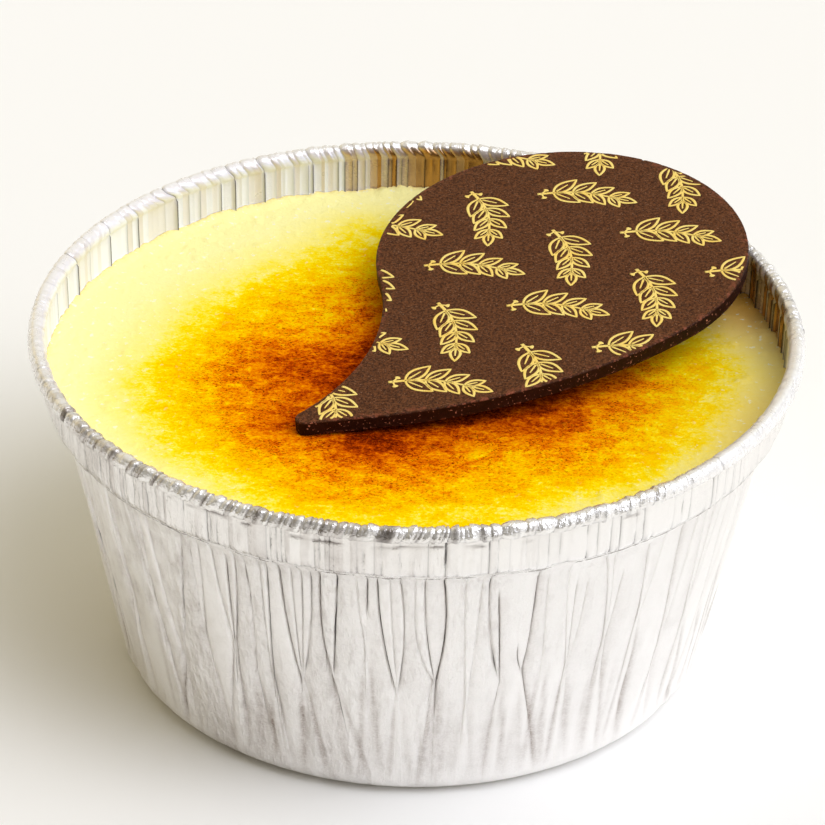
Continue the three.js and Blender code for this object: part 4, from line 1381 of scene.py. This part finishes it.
def custard_material(group):
    """Baked custard: pale at the edge, yellow further in and scorched brown round the middle of
    the burn. The colour is a ramp over the scorch distance, which noise of four sizes breaks up.
    Burnt specks with orange haloes, crumbs of crust and lighter flecks lie where it is scorched,
    and pale wet blisters where it isn't."""
    material, tree, shader = new_material("scorched_custard")
    reach = mark(tree, "scorch")
    streaks = coordinates(tree, (820.0, 1000.0, 0.0), (4.0, 9.0, 0.0))
    thin = coordinates(tree, (640.0, 1000.0, 0.0), (1.0, 2.0, 0.0))
    drift = noise(tree, streaks, 0.13, 2.0, 0.5)
    patches = noise(tree, streaks, 0.42, 4.0, 0.62, 0.4)
    blots = noise(tree, thin, 1.0, 3.0, 0.65, 0.3)
    fine = noise(tree, streaks, 2.4, 3.0, 0.7)
    uneven = 0.0
    for source, amount in ((patches, 21.0), (blots, 14.0), (fine, 22.0), (drift, 7.0)):
        centred = times(tree, maths(tree, "SUBTRACT", source, 0.5), amount)
        uneven = plus(tree, centred, uneven)
    browned = plus(tree, reach, times(tree, uneven, remap(tree, reach, 34.0, 22.0, 0.15, 1.0)))
    base = ramp(tree, maths(tree, "DIVIDE", browned, BROWNING_REACH, clamp=True),
                [(place, colour(*tint)) for place, tint in BROWNING])
    # A tan tint painted where the right wall and the plaque shade the custard.
    skin = mix_colours(tree, mark(tree, "painted_tan_shade"), base, colour(228, 158, 34))

    dots = grain(tree, group, thin, 0.22, 0.597)
    haloes = grain(tree, group, thin, 0.22, 0.555)
    crumbs = grain(tree, group, streaks, 0.26, 0.575)
    bare = noise(tree, coordinates(tree, (760.0, 1000.0, 0.0), (7.0, 1.0, 0.0)), 0.8, 3.0, 0.6)
    clustered = times(tree, remap(tree, reach, 29.0, 21.0),
                      remap(tree, patches, 0.60, 0.46, 0.4, 1.0))
    crusty = times(tree, remap(tree, reach, 28.0, 18.0), remap(tree, patches, 0.56, 0.48))
    between = times(tree, remap(tree, reach, 12.0, 18.0), remap(tree, reach, 28.0, 22.0))
    halo = times(tree, times(tree, haloes["Specks"], clustered), 0.65)
    for share, tint in ((halo, (226, 96, 0)),
                        (times(tree, dots["Specks"], clustered), (96, 14, 0)),
                        (times(tree, crumbs["Specks"], crusty), (96, 14, 0)),
                        (times(tree, remap(tree, bare, 0.58, 0.66, 0.0, 0.4), between),
                         (250, 164, 8))):
        skin = mix_colours(tree, share, skin, colour(*tint))

    foam = grain(tree, group, coordinates(tree, (1000.0, 1000.0, 0.0), (3.0, 5.0, 0.0)), 0.9, 0.62)
    blisters = times(tree, foam["Specks"], remap(tree, reach, 26.0, 36.0, 0.0, 0.8))
    skin = mix_colours(tree, blisters, skin, colour(255, 253, 226))
    baked = times(tree, mark(tree, "brim"), remap(tree, fine, 0.40, 0.55, 0.1, 0.5))
    feed(tree, mix_colours(tree, baked, skin, colour(232, 196, 116)), shader.inputs["Base Color"])
    wet = times(tree, foam["Specks"], remap(tree, reach, 28.0, 36.0, 0.0, 0.5))
    feed(tree, wet, shader.inputs["Coat Weight"])
    shader.inputs["Coat Roughness"].default_value = 0.2
    feed(tree, remap(tree, patches, 0.3, 0.7, 0.35, 0.55), shader.inputs["Roughness"])
    height = plus(tree, foam["Height"], times(tree, fine, 0.8))
    feed(tree, bump(tree, height, 0.5, 0.0003), shader.inputs["Normal"])
    shader.inputs["Specular IOR Level"].default_value = 0.0
    return material


def chocolate_material(group):
    """Dark chocolate: a matt top face with fine light grain, a side painted darker as painted
    shade with a few crumbs, and broken lighter edges."""
    material, tree, shader = new_material("dark_chocolate")
    place = coordinates(tree)
    dust = grain(tree, group, place, 0.16, 0.62)
    crumbs = grain(tree, group, place, 0.30, 0.635)
    rough = noise(tree, place, 3.6, 3.0, 0.7)
    broken = noise(tree, place, 1.3, 4.0, 0.75)
    top = mix_colours(tree, remap(tree, rough, 0.38, 0.62), colour(55, 26, 9),
                      colour(108, 64, 35))
    top = mix_colours(tree, times(tree, dust["Specks"], 0.5), top, colour(176, 136, 108))
    # The side is painted darker than the top: painted shade.
    side = mix_colours(tree, dust["Cloud"], colour(20, 6, 2), colour(50, 20, 10))
    side = mix_colours(tree, times(tree, crumbs["Specks"], 0.8), side, colour(206, 138, 112))
    faces = mix_colours(tree, mark(tree, "cut"), top, side)
    worn = times(tree, mark(tree, "edge"), remap(tree, broken, 0.52, 0.60))
    feed(tree, mix_colours(tree, times(tree, worn, 0.6), faces, colour(158, 88, 64)),
         shader.inputs["Base Color"])
    feed(tree, remap(tree, dust["Cloud"], 0.3, 0.7, 0.45, 0.62), shader.inputs["Roughness"])
    feed(tree, bump(tree, dust["Height"], 0.35, 0.00012), shader.inputs["Normal"])
    shader.inputs["Specular IOR Level"].default_value = 0.10
    return material


def gold_material(group):
    """Printed gold: warm yellow with a little wear and a soft sheen."""
    material, tree, shader = new_material("gold_print")
    wear = grain(tree, group, coordinates(tree), 0.3, 0.68)
    base = mix_colours(tree, wear["Cloud"], colour(255, 206, 76), colour(255, 238, 146))
    worn = mix_colours(tree, times(tree, wear["Specks"], 0.4), base, colour(190, 136, 50))
    feed(tree, worn, shader.inputs["Base Color"])
    feed(tree, remap(tree, wear["Cloud"], 0.3, 0.7, 0.35, 0.5), shader.inputs["Roughness"])
    shader.inputs["Metallic"].default_value = 0.05
    return material


def floor_material():
    """A plain pale floor with the faintest unevenness."""
    material, tree, shader = new_material("pale_floor")
    cloud = noise(tree, coordinates(tree, (4.0, 4.0, 4.0)), 1.0, 2.0)
    feed(tree, mix_colours(tree, cloud, colour(246, 245, 241), colour(250, 249, 246)),
         shader.inputs["Base Color"])
    shader.inputs["Roughness"].default_value = 0.8
    shader.inputs["Specular IOR Level"].default_value = 0.1
    return material


# ---- Studio -----------------------------------------------------------------------------------

def make_camera():
    """A long lens that looks down at the dessert, turned a little about its own axis."""
    rise, roll = math.radians(VIEW_RISE), math.radians(VIEW_ROLL)
    back = Vector((0.0, -math.cos(rise), math.sin(rise)))
    right = Vector((1.0, 0.0, 0.0))
    up = back.cross(right)
    turned_right = right * math.cos(roll) + up * math.sin(roll)
    turned_up = up * math.cos(roll) - right * math.sin(roll)
    data = bpy.data.cameras.new("camera")
    data.lens = LENS
    data.sensor_width = SENSOR
    data.clip_start = 0.01
    data.clip_end = 20.0
    camera = bpy.data.objects.new("camera", data)
    axes = Matrix((turned_right, turned_up, back)).transposed()
    place = (Vector(VIEW_TARGET) + back * VIEW_DISTANCE) * MM
    camera.matrix_world = Matrix.Translation(place) @ axes.to_4x4()
    bpy.context.scene.collection.objects.link(camera)
    bpy.context.scene.camera = camera


def make_floor():
    """A square that reaches past everything in view."""
    corners = np.array([[-1.0, -1.0, 0.0], [1.0, -1.0, 0.0], [1.0, 1.0, 0.0], [-1.0, 1.0, 0.0]])
    floor = make_piece("floor", corners * FLOOR_REACH, [np.array([[0, 1, 2, 3]])],
                       floor_material())


def make_world():
    """A soft studio surround: lobes of light, each strength * exp(sharpness * (cosine of the
    angle from its middle - 1)), over the faintest even glow."""
    world = bpy.data.worlds.new("studio")
    world.use_nodes = True
    tree = world.node_tree
    background = tree.nodes["Background"]
    source = tree.nodes.new("ShaderNodeTexCoord")
    total = STUDIO_GLOW
    for azimuth, rise, sharpness, strength in STUDIO_LOBES:
        turn, up = math.radians(azimuth), math.radians(rise)
        middle = (math.sin(turn) * math.cos(up), -math.cos(turn) * math.cos(up), math.sin(up))
        cosine = vector_maths(tree, "DOT_PRODUCT", source.outputs["Generated"], middle)
        power = times(tree, maths(tree, "SUBTRACT", cosine, 1.0), sharpness)
        lobe = vector_maths(tree, "SCALE", strength, maths(tree, "EXPONENT", power))
        total = vector_maths(tree, "ADD", total, lobe)
    tree.links.new(total, background.inputs["Color"])
    background.inputs["Strength"].default_value = 1.0
    bpy.context.scene.world = world


make_camera()
make_floor()
make_world()
bpy.context.scene.view_settings.view_transform = "Standard"

# ---- The dessert ------------------------------------------------------------------------------

surface_grain = grain_group()
wall_foil = foil_material("satin_foil", surface_grain, 0.30, 0.44, 0.75, 0.26)
rim_foil = foil_material("bright_foil", surface_grain, 0.12, 0.24, 0.30, 0.24)

wall = make_wall(wall_foil)
rim = make_rim(rim_foil)
custard = make_custard(custard_material(surface_grain))
plaque = make_plaque(chocolate_material(surface_grain))
gold = make_gold(gold_material(surface_grain))

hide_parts("foil_cup")
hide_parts("foil_cup")
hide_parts("custard")
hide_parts("chocolate_plaque")
for piece, slot_name in ((wall, "foil"), (rim, "foil"), (custard, "custard"),
                         (plaque, "chocolate"), (gold, "gold_decor")):
    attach(piece, "root")
